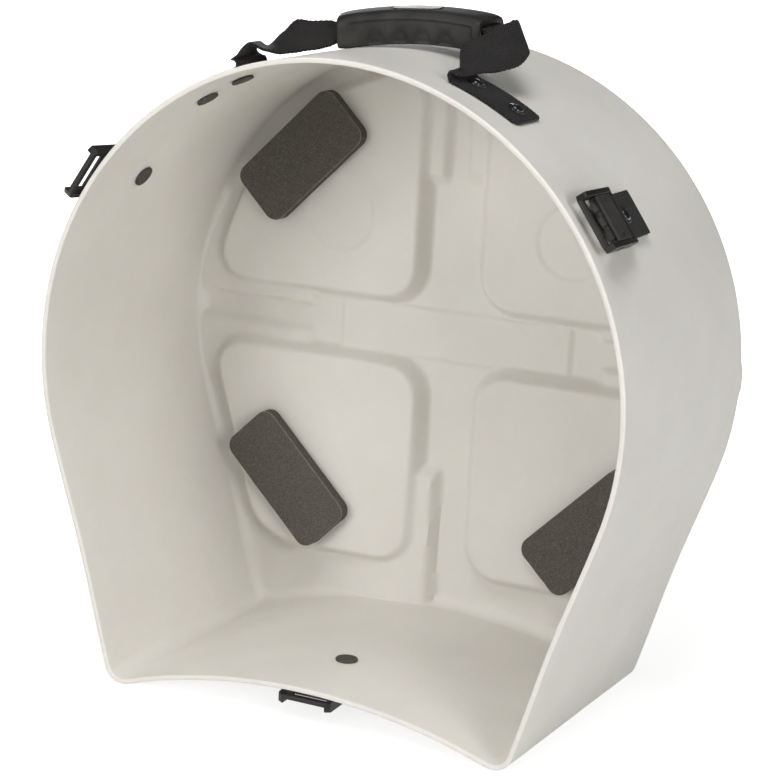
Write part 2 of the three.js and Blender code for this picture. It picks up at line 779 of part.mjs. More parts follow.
function badgeBody() {
  const radius = badgeWidth / 2;
  const end = badgeLength / 2 - badgeWidth / 2;
  const ease = badgeDepth / 4;
  const foot = gripHeight / 2 - badgeDepth + seatGap;
  const levels = [[foot, 0], [foot + badgeDepth / 2, 0], [foot + badgeDepth / 2 + ease, ease]];
  return loft(levels.map(([up, inset]) => [
    ...arc(end, 0, radius - inset, -quarterTurn, quarterTurn, 6),
    ...arc(-end, 0, radius - inset, quarterTurn, halfTurn + quarterTurn, 6),
  ].map(([x, y]) => bowed(x, y, up))));
}

// Buckles. A buckle's own frame has its rear bar at 0, its front toward -Y and its face up.

function loopBody() {
  const [bar, height] = [buckleBarPlace, buckleBarHeight];
  const lean = radians(loopLeanAngle);
  const inner = buckleBarRadius + seatGap;
  const outer = inner + loopThickness;
  const low = height - outer;
  const upper = low + loopThickness + seatGap;
  const slopeEnd = (radius, up) => (
    bar + radius * Math.cos(lean) + (height + radius * Math.sin(lean) - up) * Math.tan(lean));
  const section = [
    [loopEnd, low],
    ...arc(bar, height, outer, 3 * quarterTurn, lean, 9),
    [slopeEnd(outer, upper + loopThickness), upper + loopThickness],
    [loopEnd, upper + loopThickness],
    [loopEnd, upper],
    [slopeEnd(inner, upper), upper],
    ...arc(bar, height, inner, lean, 3 * quarterTurn, 9),
    [loopEnd, low + loopThickness],
  ];
  const cutter = holeCutter();
  cutter.translate(0, latchRivetPlace, 0);
  return barAcross(section, loopWidth).subtract(solid(cutter));
}

function frameBody() {
  const front = -buckleReach;
  const end = (railTop + railBottom) / 2;
  const middle = (railTop - railBottom) / 2;
  const ease = railWidth / 2;
  const rail = [
    ...arc(0, middle, end, -quarterTurn, quarterTurn, 6),
    ...arc(front + ease, railTop - ease, ease, quarterTurn, halfTurn, 3),
    ...arc(front + ease, ease - railBottom, ease, halfTurn, halfTurn + quarterTurn, 3),
  ];
  const bar = [
    ...arc(front + ease, ease - railBottom, ease, halfTurn, halfTurn + quarterTurn, 3),
    [front + frontBarLength, -railBottom],
    [front + frontBarLength, railTop - 2 * ease],
    ...arc(front + ease, railTop - ease - rimEase, ease, quarterTurn, halfTurn, 3),
  ];
  let body = barAcross(bar, buckleWidth - railWidth).add(rodAcross(buckleBarRadius, buckleWidth - railWidth, 0, 0));
  [-1, 1].forEach((side) => {
    body = body.add(barAcross(rail, railWidth).translate(side * (buckleWidth - railWidth) / 2, 0, 0));
  });
  return body.subtract(rodAcross(pinRadius + rivetRunGap, buckleWidth + overrun, -pinReach, 0));
}

function leverBody() {
  const width = buckleWidth - 2 * railWidth - 2 * leverSideGap;
  const ease = leverThickness / 2;
  const under = railTop - leverThickness;
  const front = -pinReach - leverFront;
  const plate = [
    [-leverRearGap - ease, under],
    ...arc(-leverRearGap - ease, railTop - ease, ease, 0, quarterTurn, 3),
    ...arc(front + ease, railTop - ease, ease, quarterTurn, halfTurn + quarterTurn, 4),
  ];
  const tip = radians(toothAngle);
  const spread = 2 * radians(toothHalfAngle);
  const tooth = [
    [-pinReach, 0],
    [-pinReach + hubRadius * Math.cos(tip - 2 * spread), hubRadius * Math.sin(tip - 2 * spread)],
    [-pinReach + toothReach * Math.cos(tip - spread / 2), toothReach * Math.sin(tip - spread / 2)],
    [-pinReach + toothReach * Math.cos(tip + spread / 2), toothReach * Math.sin(tip + spread / 2)],
    [-pinReach + hubRadius * Math.cos(tip + 2 * spread), hubRadius * Math.sin(tip + 2 * spread)],
  ];
  let body = barAcross(plate, width).add(rodAcross(hubRadius, width, -pinReach, 0));
  [-1, 0, 1].forEach((place) => {
    body = body.add(barAcross(tooth, toothWidth).translate(place * toothPitch, 0, 0));
  });
  [-1, 1].forEach((side) => {
    const pocket = new THREE.BoxGeometry(leverPocket, leverPocket, 2 * leverPocketDepth);
    pocket.translate(side * (width / 2 - leverPocket), -pinReach + 2 * leverPocket, railTop);
    body = body.subtract(solid(pocket));
  });
  return body.subtract(rodAcross(pinRadius + rivetRunGap, width + overrun, -pinReach, 0));
}

// The assembly, drawn from the shell's middle at its rim

const drumCase = new THREE.Group();
drumCase.position.set(0, -(shellDepth + ribRise) / 2, baseDrop);

const strapSeat = seatGap + strapThickness + seatGap;
const latchLow = buckleBarHeight - buckleBarRadius - seatGap - loopThickness;
const latchSeat = latchLow + 2 * loopThickness + 2 * seatGap;
const sides = { right: 1, left: -1 };
const rivetPlaces = [];
Object.entries(sides).forEach(([side, sign]) => {
  Object.entries({ inner: innerRivetAngle, outer: outerRivetAngle }).forEach(([row, spread]) => {
    const place = shellPlace(strapMiddleAngle - sign * spread, strapDepth);
    rivetPlaces.push({ name: `${side}_${row}`, set: 'strap', place, seat: strapSeat });
  });
});
Object.entries(latchAngles).forEach(([name, angle]) => {
  rivetPlaces.push({ name, set: 'latch', place: shellPlace(angle, latchRivetPlace), seat: latchSeat });
});

let shell = shellBody();
let strap = strapBody();
rivetPlaces.forEach(({ set, place }) => {
  const cutter = holeCutter();
  cutter.applyMatrix4(place);
  const hole = solid(cutter);
  shell = shell.subtract(hole);
  if (set === 'strap') {
    const short = new THREE.CylinderGeometry(shankRadius, shankRadius, 4 * strapThickness, holeSides);
    short.scale(1 + rivetRunGap / shankRadius, 1, 1 + rivetRunGap / shankRadius);
    short.rotateX(quarterTurn);
    short.applyMatrix4(place);
    strap = strap.subtract(solid(short));
  }
});
drumCase.add(meshOf('case_shell', shell, shellFinish));
drumCase.add(meshOf('handle_strap', strap, webbingFinish));

// Pads lie across the panels' diagonals, with their long sides round the case.
Object.entries(padAngles).forEach(([name, angle]) => {
  const planAt = (inset) => {
    const [across, up] = [padLength / 2 - padCorner, padWidth / 2 - padCorner];
    const corner = padCorner - inset;
    return [
      ...arc(across, up, corner, 0, quarterTurn, 3),
      ...arc(-across, up, corner, quarterTurn, halfTurn, 3),
      ...arc(-across, -up, corner, halfTurn, 3 * quarterTurn, 3),
      ...arc(across, -up, corner, 3 * quarterTurn, 4 * quarterTurn, 3),
    ];
  };
  const levels = [[0, padEase / 2], [padEase / 2, 0], [padThickness - padEase, 0], [padThickness, padEase]];
  const body = loft(levels.map(([height, inset]) => ringAt(planAt(inset), -height)));
  const pad = meshOf(`foam_pad_${name}`, body, foamFinish);
  const turn = radians(angle);
  pad.position.set(padCentreRadius * Math.cos(turn), faceDepth - seatGap, padCentreRadius * Math.sin(turn));
  pad.rotation.y = quarterTurn - turn;
  drumCase.add(pad);
});

rivetPlaces.forEach(({ name, set, place, seat }) => {
  const rivet = meshOf(`${set}_rivet_${name}`, rivetBody(seat), rivetFinish);
  const cap = meshOf(`${set}_cap_${name}`, capBody(), capFinish);
  [rivet, cap].forEach((piece) => {
    piece.applyMatrix4(place);
    drumCase.add(piece);
  });
});

const grip = new THREE.Group();
grip.applyMatrix4(gripFrame);
grip.add(meshOf('handle_grip', gripBody(), gripFinish));
grip.add(meshOf('grip_badge', badgeBody(), badgeFinish));
drumCase.add(grip);

Object.entries(latchAngles).forEach(([name, angle]) => {
  const latch = new THREE.Group();
  latch.applyMatrix4(shellPlace(angle, 0));
  latch.add(meshOf(`webbing_loop_${name}`, loopBody(), webbingFinish));
  const buckle = new THREE.Group();
  buckle.position.set(0, buckleBarPlace, buckleBarHeight);
  buckle.rotation.x = -radians(buckleTiltAngles[name]);
  buckle.add(meshOf(`buckle_frame_${name}`, frameBody(), buckleFinish));
  buckle.add(meshOf(`cam_lever_${name}`, leverBody(), buckleFinish));
  const pin = rodAcross(pinRadius, buckleWidth - 2 * pinRecess, -pinReach, 0);
  buckle.add(meshOf(`lever_pin_${name}`, pin, pinFinish));
  latch.add(buckle);
  drumCase.add(latch);
});

export default drumCase;
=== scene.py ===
# %% [markdown]
# # A snare drum case without its lid
#
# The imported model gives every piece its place, and this script gives the pieces their looks. Each step
# first says what the piece is on the real case, how it could be made in Blender, and why one way was
# chosen. All sizes below are in millimetres and turn to metres where a mesh is made.

# %% The frame
import math

import bmesh
import bpy
import numpy as np
from mathutils import Euler, Matrix, Vector, noise


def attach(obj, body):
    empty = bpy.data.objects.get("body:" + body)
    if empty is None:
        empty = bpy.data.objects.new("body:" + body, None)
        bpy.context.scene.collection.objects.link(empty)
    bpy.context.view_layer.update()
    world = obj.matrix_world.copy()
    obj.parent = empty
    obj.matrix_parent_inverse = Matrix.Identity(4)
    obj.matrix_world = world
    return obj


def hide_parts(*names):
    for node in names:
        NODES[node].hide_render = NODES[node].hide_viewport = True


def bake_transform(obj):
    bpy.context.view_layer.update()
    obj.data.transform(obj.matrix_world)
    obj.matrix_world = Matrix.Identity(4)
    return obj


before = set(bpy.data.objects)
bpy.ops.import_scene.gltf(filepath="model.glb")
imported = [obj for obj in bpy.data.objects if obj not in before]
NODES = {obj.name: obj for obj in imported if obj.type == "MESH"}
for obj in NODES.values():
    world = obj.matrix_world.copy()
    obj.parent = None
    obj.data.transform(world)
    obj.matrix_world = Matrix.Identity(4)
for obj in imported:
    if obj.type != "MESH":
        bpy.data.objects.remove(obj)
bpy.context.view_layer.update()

MM = 0.001
print("pieces in the packed model:", len(NODES))

# %% [markdown]
# ## The camera first
#
# The photograph was taken from the front right and a little above, with the camera rolled by about three
# degrees. The place below was worked out from the round rim, which gives the angle, the distance and the
# focal length at once. The camera could be aimed with a constraint, but a plain matrix of its three axes is
# easier to read and can't drift.

# %% Camera
EYE = Vector((0.651546, -1.369629, 0.547330))
AIM = Vector((0.052753, -0.10975, 0.228426))
ROLL = math.radians(3.1927)
LENS, SENSOR = 107.3, 36.0


def put_camera():
    ahead = (AIM - EYE).normalized()
    right = ahead.cross(Vector((0, 0, 1))).normalized()
    up = right.cross(ahead)
    c, s = math.cos(ROLL), math.sin(ROLL)
    right, up = right * c + up * s, up * c - right * s
    data = bpy.data.cameras.new("camera")
    data.lens, data.sensor_width = LENS, SENSOR
    camera = bpy.data.objects.new("camera", data)
    camera.matrix_world = Matrix.Translation(EYE) @ Matrix((right, up, -ahead)).transposed().to_4x4()
    bpy.context.scene.collection.objects.link(camera)
    bpy.context.scene.camera = camera


put_camera()
print("camera to the point it aims at, in m:", round((AIM - EYE).length, 3))

# %% [markdown]
# ## Sizes that the pieces share
#
# These repeat the sizes of the solids, so that each finer piece lies where its solid lies. The case's own
# middle is the middle of the round part, in the plane of the rim: all shapes are drawn from there, with X
# across, Y back into the case and Z up, and then moved as one by `HOME`. Angles round the case are in
# degrees and start at the right.

# %% Sizes
RIM_RADIUS, SHELL_DEPTH, REAR_FLARE = 205.0, 214.5, 4.2
FOOT_SPAN, FOOT_RADIUS, BASE_DROP, ARCH_RISE = 270.0, 14.0, 222.0, 22.0
SIDE_WALL, REAR_WALL, REAR_ROUND, RIM_EASE = 3.5, 6.0, 9.0, 0.9
PANEL_RAISE, RIB_RISE = 13.0, 5.0
FLOOR = SHELL_DEPTH - REAR_WALL
FACE = FLOOR - PANEL_RAISE
FLARE = REAR_FLARE / SHELL_DEPTH
HOME = Vector((0.0, -(SHELL_DEPTH + RIB_RISE) / 2, BASE_DROP))
SEAT_GAP = 0.3
STRAP_WIDTH, STRAP_THICK, STRAP_DEPTH = 39.0, 2.0, 46.0
STRAP_MIDDLE, STRAP_TIP = 92.0, 34.8
LATCHES = {"right": 35.5, "left": 147.2, "bottom": 270.0}
BUCKLE_WIDTH, BAR_HEIGHT, BAR_RADIUS = 38.0, 4.7, 2.4
LOOP_WIDTH, LOOP_THICK = 30.0, 1.6
print("overall depth in mm:", SHELL_DEPTH + RIB_RISE)

# %% [markdown]
# ## Small helpers
#
# A mesh is made from points in millimetres and faces as rows of point numbers. `sheet_faces` joins a grid
# of points, which may close on itself round or along, so that one helper serves the shell, the grip, the
# straps and the rivets. `end_faces` shuts the two ends of a closed grid with one flat face each, and
# `fan_faces` with a fan of triangles.

# %% Mesh helpers
def new_piece(name, points, faces, material, smooth=True, uv=None):
    """A mesh object from points in mm drawn from the case's own middle."""
    mesh = bpy.data.meshes.new(name)
    placed = (np.array([tuple(point) for point in points]) + np.array(HOME)) * MM
    mesh.from_pydata(placed.tolist(), [], [list(map(int, face)) for face in faces])
    if uv is not None:
        layer = mesh.uv_layers.new(name="cloth")
        index = np.zeros(len(mesh.loops), int)
        mesh.loops.foreach_get("vertex_index", index)
        layer.data.foreach_set("uv", np.asarray(uv, float)[index].ravel())
    mesh.validate()
    mesh.update()
    work = bmesh.new()
    work.from_mesh(mesh)
    bmesh.ops.recalc_face_normals(work, faces=work.faces)
    work.to_mesh(mesh)
    work.free()
    mesh.polygons.foreach_set("use_smooth", [smooth] * len(mesh.polygons))
    mesh.materials.append(material)
    piece = bpy.data.objects.new(name, mesh)
    bpy.context.scene.collection.objects.link(piece)
    print(name, "points:", len(mesh.vertices))
    return piece


def sheet_faces(rows, columns, wrap_rows=False, wrap_columns=False, first=0):
    """The four-sided faces of a grid of points that is stored row by row."""
    faces = []
    for r in range(rows if wrap_rows else rows - 1):
        below = (r + 1) % rows
        for c in range(columns if wrap_columns else columns - 1):
            beside = (c + 1) % columns
            faces.append((first + r * columns + c, first + r * columns + beside,
                          first + below * columns + beside, first + below * columns + c))
    return faces


def end_faces(rows, columns, first=0, order=1):
    """The first and the last row of a grid as one face each; order -1 runs round them the other way."""
    last = first + (rows - 1) * columns
    return [tuple(range(first, first + columns))[::-order], tuple(range(last, last + columns))[::order]]


def fan_faces(rows, columns):
    """Triangles from the first and the last row to their middle points, which are stored after the grid."""
    last, middle = (rows - 1) * columns, rows * columns
    faces = []
    for c in range(columns):
        beside = (c + 1) % columns
        faces += [(middle, beside, c), (middle + 1, last + c, last + beside)]
    return faces


def keep_edges(piece, degrees=50):
    """Smooth shading that stays crisp wherever two faces meet at more than this angle."""
    work = bmesh.new()
    work.from_mesh(piece.data)
    for edge in work.edges:
        if len(edge.link_faces) == 2 and edge.calc_face_angle(0) > math.radians(degrees):
            edge.smooth = False
    work.to_mesh(piece.data)
    work.free()


def step(low, high, value):
    """0 below low, 1 above high, and a soft turn between."""
    share = np.clip((np.asarray(value, float) - low) / (high - low), 0, 1)
    return share * share * (3 - 2 * share)


# %% [markdown]
# ## Materials
#
# Each finish is named for the real material and the way its surface was made. A colour is written as the
# sRGB hex value that a colour picker would show, and one function turns it to the linear values that the
# shader mixes. `add` puts one node into a material with its settings and its links, so a whole material
# reads as a short list.

# %% Colour and node helpers
def linear(hex_value):
    parts = [int(hex_value[i:i + 2], 16) / 255 for i in (1, 3, 5)]
    return tuple(p / 12.92 if p <= 0.04045 else ((p + 0.055) / 1.055) ** 2.4 for p in parts) + (1.0,)


def add(tree, kind, settings=None, links=None):
    """One node: settings are sockets, properties or a ramp's stops, links are socket: (node, output)."""
    made = tree.nodes.new("ShaderNode" + kind)
    for name, value in (settings or {}).items():
        if name == "stops":
            for stop, (place, colour) in zip(made.color_ramp.elements, value):
                stop.position, stop.color = place, linear(colour)
        elif isinstance(name, str) and hasattr(made, name):
            setattr(made, name, value)
        else:
            made.inputs[name].default_value = value
    for name, (source, output) in (links or {}).items():
        tree.links.new(source.outputs[output], made.inputs[name])
    return made


def new_material(name):
    material = bpy.data.materials.new(name)
    material.use_nodes = True
    tree = material.node_tree
    tree.nodes.clear()
    print("material:", name)
    return material, tree


def finish_material(tree, settings, links):
    """The principled shader that every finish ends in."""
    shader = add(tree, "BsdfPrincipled", settings, links)
    add(tree, "OutputMaterial", links={0: (shader, 0)})


def per_mm(size):
    """A texture scale whose pattern repeats about every size millimetres."""
    return 1 / (size * MM)


# %% [markdown]
# ### Rotationally moulded polyethylene
#
# The shell is polyethylene powder, melted inside a turning mould. The mould side has a fine sand-like
# grain, and the powder leaves a faint cloudy variation in the off-white. It is a waxy plastic: a wide, soft
# sheen, an IOR of 1.51 and a little light that goes in and comes out again, which softens the shadows at
# the rim.

# %% Shell plastic
def moulded_polyethylene():
    material, tree = new_material("rotomoulded polyethylene")
    place = add(tree, "TexCoord")
    clouds = add(tree, "TexNoise", {"Scale": per_mm(70), "Detail": 4.0, "Roughness": 0.55},
                 {"Vector": (place, "Object")})
    grains = add(tree, "TexNoise", {"Scale": per_mm(1.1), "Detail": 3.0, "Roughness": 0.6},
                 {"Vector": (place, "Object")})
    dents = add(tree, "TexNoise", {"Scale": per_mm(9), "Detail": 2.0}, {"Vector": (place, "Object")})
    base = add(tree, "ValToRGB", {"stops": ((0.3, "#e2dfd8"), (0.7, "#e9e6e0"))}, {"Fac": (clouds, "Fac")})
    speck = add(tree, "MapRange", {"From Min": 0.62, "From Max": 0.78, "To Min": 0.0, "To Max": 0.12},
                {"Value": (grains, "Fac")})
    colour = add(tree, "Mix", {"data_type": "RGBA", 7: linear("#c9c5b8")}, {0: (speck, 0), 6: (base, 0)})
    rough = add(tree, "MapRange", {"To Min": 0.46, "To Max": 0.6}, {"Value": (clouds, "Fac")})
    coarse = add(tree, "Bump", {"Strength": 0.25, "Distance": 0.35 * MM}, {"Height": (dents, "Fac")})
    fine = add(tree, "Bump", {"Strength": 0.3, "Distance": 0.08 * MM},
               {"Height": (grains, "Fac"), "Normal": (coarse, 0)})
    finish_material(tree, {"IOR": 1.51, "Subsurface Weight": 0.12, "Subsurface Scale": 1.5 * MM},
                    {"Base Color": (colour, 2), "Roughness": (rough, 0), "Normal": (fine, 0)})
    return material


SHELL_PLASTIC = moulded_polyethylene()

# %% [markdown]
# ### Cut foam
#
# The blocks are closed-cell foam, cut from a sheet. A cut face opens the cells, so it is a matt field of
# small dark pits with paler walls, and nothing on it shines. Real cells are about half a millimetre wide.
# Here they are drawn at 0.8 millimetres, because finer ones wouldn't show at this distance. The top edge
# of each block gets the same finish a shade lighter, as a painted highlight along the edge.

# %% Foam
def cut_foam(name, dark, pale):
    material, tree = new_material(name)
    place = add(tree, "TexCoord")
    cells = add(tree, "TexVoronoi", {"Scale": per_mm(0.8), "feature": "F1"}, {"Vector": (place, "Object")})
    clouds = add(tree, "TexNoise", {"Scale": per_mm(1.6), "Detail": 5.0, "Roughness": 0.7},
                 {"Vector": (place, "Object")})
    tone = add(tree, "Math", {"operation": "MULTIPLY"}, {0: (cells, "Distance"), 1: (clouds, "Fac")})
    base = add(tree, "ValToRGB", {"stops": ((0.06, dark), (0.42, pale))}, {"Fac": (tone, 0)})
    bump = add(tree, "Bump", {"Strength": 0.7, "Distance": 0.5 * MM}, {"Height": (tone, 0)})
    finish_material(tree, {"Roughness": 1.0, "Specular IOR Level": 0.15, "IOR": 1.45},
                    {"Base Color": (base, 0), "Normal": (bump, 0)})
    return material


FOAM = cut_foam("cut closed-cell foam", "#4c4843", "#6c6861")
# The same foam a shade lighter, a painted highlight for the top edge of each block.
FOAM_EDGE_HIGHLIGHT = cut_foam("foam with painted edge highlight", "#77726a", "#8f8a80")

# %% [markdown]
# ### Woven polypropylene webbing
#
# The handle and the latch loops are woven from thick black polypropylene yarn. The yarns cross in a tight
# twill, so the face is a field of small slanted beads, about one and a half millimetres apart, each with
# its own tiny glint. The pattern is drawn on the strap's own measure, across and along in millimetres, so
# that it turns with each fold.

# %% Webbing
WEAVE_PITCH = 1.5
YARN_TURNS = (52, -38)


def woven_webbing():
    material, tree = new_material("woven polypropylene webbing")
    place = add(tree, "TexCoord")
    bands = []
    for turn in YARN_TURNS:
        turned = add(tree, "Mapping", {"Rotation": (0, 0, math.radians(turn))}, {"Vector": (place, "UV")})
        bands.append(add(tree, "TexWave", {"Scale": math.pi / (10 * WEAVE_PITCH), "bands_direction": "X",
                                           "wave_profile": "SIN"}, {"Vector": (turned, 0)}))
    beads = add(tree, "Math", {"operation": "MULTIPLY"}, {0: (bands[0], "Fac"), 1: (bands[1], "Fac")})
    dust = add(tree, "TexNoise", {"Scale": per_mm(14), "Detail": 4.0}, {"Vector": (place, "Object")})
    worn = add(tree, "Math", {"operation": "MULTIPLY"}, {0: (beads, 0), 1: (dust, "Fac")})
    base = add(tree, "ValToRGB", {"stops": ((0.02, "#0e0c0c"), (0.6, "#3b3735"))}, {"Fac": (worn, 0)})
    bump = add(tree, "Bump", {"Strength": 0.8, "Distance": 0.45 * MM}, {"Height": (beads, 0)})
    finish_material(tree, {"Roughness": 0.62, "IOR": 1.49, "Specular IOR Level": 0.3,
                           "Sheen Weight": 0.06, "Sheen Roughness": 0.5},
                    {"Base Color": (base, 0), "Normal": (bump, 0)})
    return material


WEBBING = woven_webbing()

# %% [markdown]
# ### Injection moulded plastics
#
# The grip is a soft, rubbery plastic with a spark-eroded grain and a few pale scuffs. The buckles are
# acetal, which is harder and smoother, with a dull sheen. One function makes both, because they differ only
# in colour, in the width and depth of the grain in millimetres, and in gloss.

# %% Moulded blacks
def moulded_plastic(name, dark, pale, grain, roughness, ior, depth):
    material, tree = new_material(name)
    place = add(tree, "TexCoord")
    grains = add(tree, "TexNoise", {"Scale": per_mm(grain), "Detail": 3.0}, {"Vector": (place, "Object")})
    wear = add(tree, "TexNoise", {"Scale": per_mm(22), "Detail": 6.0, "Roughness": 0.65},
               {"Vector": (place, "Object")})
    base = add(tree, "ValToRGB", {"stops": ((0.4, dark), (0.75, pale))}, {"Fac": (wear, "Fac")})
    rough = add(tree, "MapRange", {"To Min": roughness - 0.08, "To Max": roughness + 0.1},
                {"Value": (wear, "Fac")})
    bump = add(tree, "Bump", {"Strength": 0.35, "Distance": depth * MM}, {"Height": (grains, "Fac")})
    finish_material(tree, {"IOR": ior, "Specular IOR Level": 0.32},
                    {"Base Color": (base, 0), "Roughness": (rough, 0), "Normal": (bump, 0)})
    return material


GRIP_PLASTIC = moulded_plastic("soft moulded grip plastic", "#232120", "#3d3a37", 0.7, 0.5, 1.5, 0.12)
BUCKLE_PLASTIC = moulded_plastic("moulded acetal", "#201d1c", "#34312f", 0.5, 0.4, 1.48, 0.05)
LEVER_PLASTIC = moulded_plastic("moulded acetal lever", "#343231", "#464441", 0.5, 0.42, 1.48, 0.05)
BADGE_PLASTIC = moulded_plastic("smooth bare inlay", "#2a2820", "#35332a", 0.4, 0.3, 1.5, 0.02)

# %% [markdown]
# ### Rivets, washers and pins
#
# The rivets are steel with a black enamel coat, so they show one small hard highlight. The washers inside
# the case are dull, dark and slightly stained. The pins are ground steel and show only at the buckles'
# sides.

# %% Hardware finishes
def coated_metal(name, dark, pale, roughness, metallic, coat):
    material, tree = new_material(name)
    place = add(tree, "TexCoord")
    stain = add(tree, "TexNoise", {"Scale": per_mm(2.5), "Detail": 5.0, "Roughness": 0.6},
                {"Vector": (place, "Object")})
    base = add(tree, "ValToRGB", {"stops": ((0.35, dark), (0.7, pale))}, {"Fac": (stain, "Fac")})
    rough = add(tree, "MapRange", {"To Min": roughness * 0.8, "To Max": roughness * 1.25},
                {"Value": (stain, "Fac")})
    bump = add(tree, "Bump", {"Strength": 0.2, "Distance": 0.05 * MM}, {"Height": (stain, "Fac")})
    finish_material(tree, {"Metallic": metallic, "Coat Weight": coat, "Coat Roughness": 0.1},
                    {"Base Color": (base, 0), "Roughness": (rough, 0), "Normal": (bump, 0)})
    return material


RIVET_ENAMEL = coated_metal("black enamelled steel", "#161618", "#222224", 0.28, 0.0, 0.6)
WASHER_METAL = coated_metal("dull dark washer steel", "#3b3a35", "#55534b", 0.6, 0.2, 0.0)
PIN_STEEL = coated_metal("ground steel pin", "#8c8d8f", "#a6a7a8", 0.35, 1.0, 0.0)

# %% [markdown]
# ## The shell
#
# The shell is one hollow moulding: a round top, two straight sides, an arched base between two feet, and a
# rear wall with four raised panels. It could be cut from solids with booleans, but its soft edges are the
# point of it. So the outline is drawn once as a function, and the surface is a stack of outlines: down the
# side, round the corner, and then in towards the middle, where a height function lifts the panels and sinks
# the channels with soft edges. The straight sides bow in a little, as a flat wall does when the moulding
# cools.

# %% Outline
BASE_STEPS, FOOT_STEPS, SIDE_STEPS, TOP_STEPS = 40, 12, 30, 118
SIDE_BOW, LEAST_CORNER = 1.5, 2.0


def arc_points(across, up, radius, start, end, steps):
    angles = np.linspace(start, end, steps + 1)
    return np.stack([across + radius * np.cos(angles), up + radius * np.sin(angles)], 1)


def side_angle(radius, across, up):
    """The way that a straight side faces, as it touches both the round top and the round foot."""
    return math.atan2(up, across) + math.acos((radius - FOOT_RADIUS) / math.hypot(across, up))


def outline(depth, inset):
    """The line round the case at a depth behind the rim, moved inward by an inset."""
    flare = FLARE * depth
    radius, foot_across = RIM_RADIUS + flare, FOOT_SPAN / 2 + flare
    foot_up, arch_top = FOOT_RADIUS - BASE_DROP, ARCH_RISE - BASE_DROP
    side = side_angle(radius, foot_across, foot_up)
    drop = foot_up - arch_top
    arch = (foot_across ** 2 + drop ** 2 - FOOT_RADIUS ** 2) / (2 * (FOOT_RADIUS - drop))
    middle = arch_top - arch
    corner = max(FOOT_RADIUS - inset, LEAST_CORNER)
    out_x, out_z = math.cos(side), math.sin(side)
    to_side, to_arch = radius - inset - corner, arch + inset + corner
    along = -middle * out_x
    apart = (to_side * out_x) ** 2 + (to_side * out_z - middle) ** 2
    run = along - math.sqrt(along ** 2 - (apart - to_arch ** 2))
    corner_x, corner_z = to_side * out_x + run * out_z, to_side * out_z - run * out_x
    under = math.atan2(middle - corner_z, -corner_x)
    base = arc_points(0, middle, arch + inset, math.pi / 2, under + math.pi, BASE_STEPS)
    foot = arc_points(corner_x, corner_z, corner, under, side, FOOT_STEPS)
    top = arc_points(0, 0, radius - inset, side, math.pi / 2, TOP_STEPS)
    share = np.linspace(0, 1, SIDE_STEPS + 2)[1:-1, None]
    hollow = SIDE_BOW * np.sin(math.pi * share) ** 2
    straight = foot[-1] + (top[0] - foot[-1]) * share - hollow * np.array([[out_x, out_z]])
    right = np.concatenate([base[:-1], foot, straight, top])
    left = right[1:-1][::-1] * np.array([-1, 1])
    return np.concatenate([right, left])


ROUND = len(outline(0, 0))
print("points round the case:", ROUND)

# %% [markdown]
# The panels are drawn as signed distances: negative inside the panel's plan, positive outside. A rounded
# corner comes from adding up how far a point is past each edge, as the sides of a right-angled triangle add
# up. The same distance then drives the slope from the panel's face down to the channel, so the slope has
# the same width all round. The channels between the panels form a cross. On the outside each of its four
# arms carries a stacking rib, and `ARMS` says how far out each rib starts.

# %% Rear wall
FAR = 999.0
PANEL_CORNER, PANEL_RADIUS, LOWER_REACH = 24.0, 188.0, 167.0
RIGHT_UPPER, LEFT_UPPER, LEFT_LOWER, RIGHT_LOWER = (22.6, 25.6), (27.6, 23.6), (22.4, 23.6), (23.6, 21.4)
ARMS = {0: 107.0, 90: 111.0, 180: 107.0, 270: 98.0}
RIB_HALF = 8.0
print("channel's width between the upper panels in mm:", round(RIGHT_UPPER[0] + LEFT_UPPER[0], 1))


def quadrants(x, z, which):
    """The half width of the channel beside (0) or below and above (1) each point's own panel."""
    upper = np.where(x > 0, RIGHT_UPPER[which], LEFT_UPPER[which])
    return np.where(z > 0, upper, np.where(x > 0, RIGHT_LOWER[which], LEFT_LOWER[which]))


def panel_distance(x, z):
    """How far a point lies outside the nearest panel's plan, in mm, and negative inside it."""
    side = side_angle(RIM_RADIUS, FOOT_SPAN / 2, FOOT_RADIUS - BASE_DROP)
    low = z < 0
    side_line = np.where(low, np.abs(x) * math.cos(side) + z * math.sin(side), -FAR)
    outer = np.maximum(np.hypot(x, z), side_line) - PANEL_RADIUS
    beyond_side = low & (np.arctan2(z, np.abs(x)) < side)
    outer = np.where(beyond_side, side_line - PANEL_RADIUS, outer)
    beside, level = quadrants(x, z, 0) - np.abs(x), quadrants(x, z, 1) - np.abs(z)
    past = np.stack([beside, level, outer, np.where(low, -z - LOWER_REACH, -FAR)]) + PANEL_CORNER
    outside = np.sqrt((np.maximum(past, 0) ** 2).sum(0)) - PANEL_CORNER
    return np.where(past.max(0) > 0, outside, past.max(0) - PANEL_CORNER)


def from_arm(angle, x, z):
    """How far a point lies out along an arm's line, and how far beside it."""
    c, s = math.cos(math.radians(angle)), math.sin(math.radians(angle))
    return x * c + z * s, z * c - x * s


def arm_distance(x, z):
    """How far a point lies from the nearest arm's line; an arm starts a little way out from the middle."""
    best = np.full(np.shape(x), FAR)
    for angle, start in ARMS.items():
        along, beside = from_arm(angle, x, z)
        best = np.minimum(best, np.hypot(np.minimum(along - start - RIB_HALF, 0), beside))
    return best


# %% [markdown]
# Between a panel and the middle of an arm runs a ledge, about half as high as the panel, which leaves the
# arm a narrow groove. Each ledge is one row of a table: the arm's angle, the side that it lies on, where it
# starts, how high it is, and where its slope has its foot and its top, counted from the arm's line. The
# bottom arm has a ledge on its left alone. A ledge rises over `LEDGE_START` and fades out under the panel
# over `LEDGE_FADE`. In the middle of the cross lies a plain raised plate, and each upper panel has a
# shallow sunk disc. Every slope is given by where it begins and where it ends, counted outward from the
# edge of its own form.

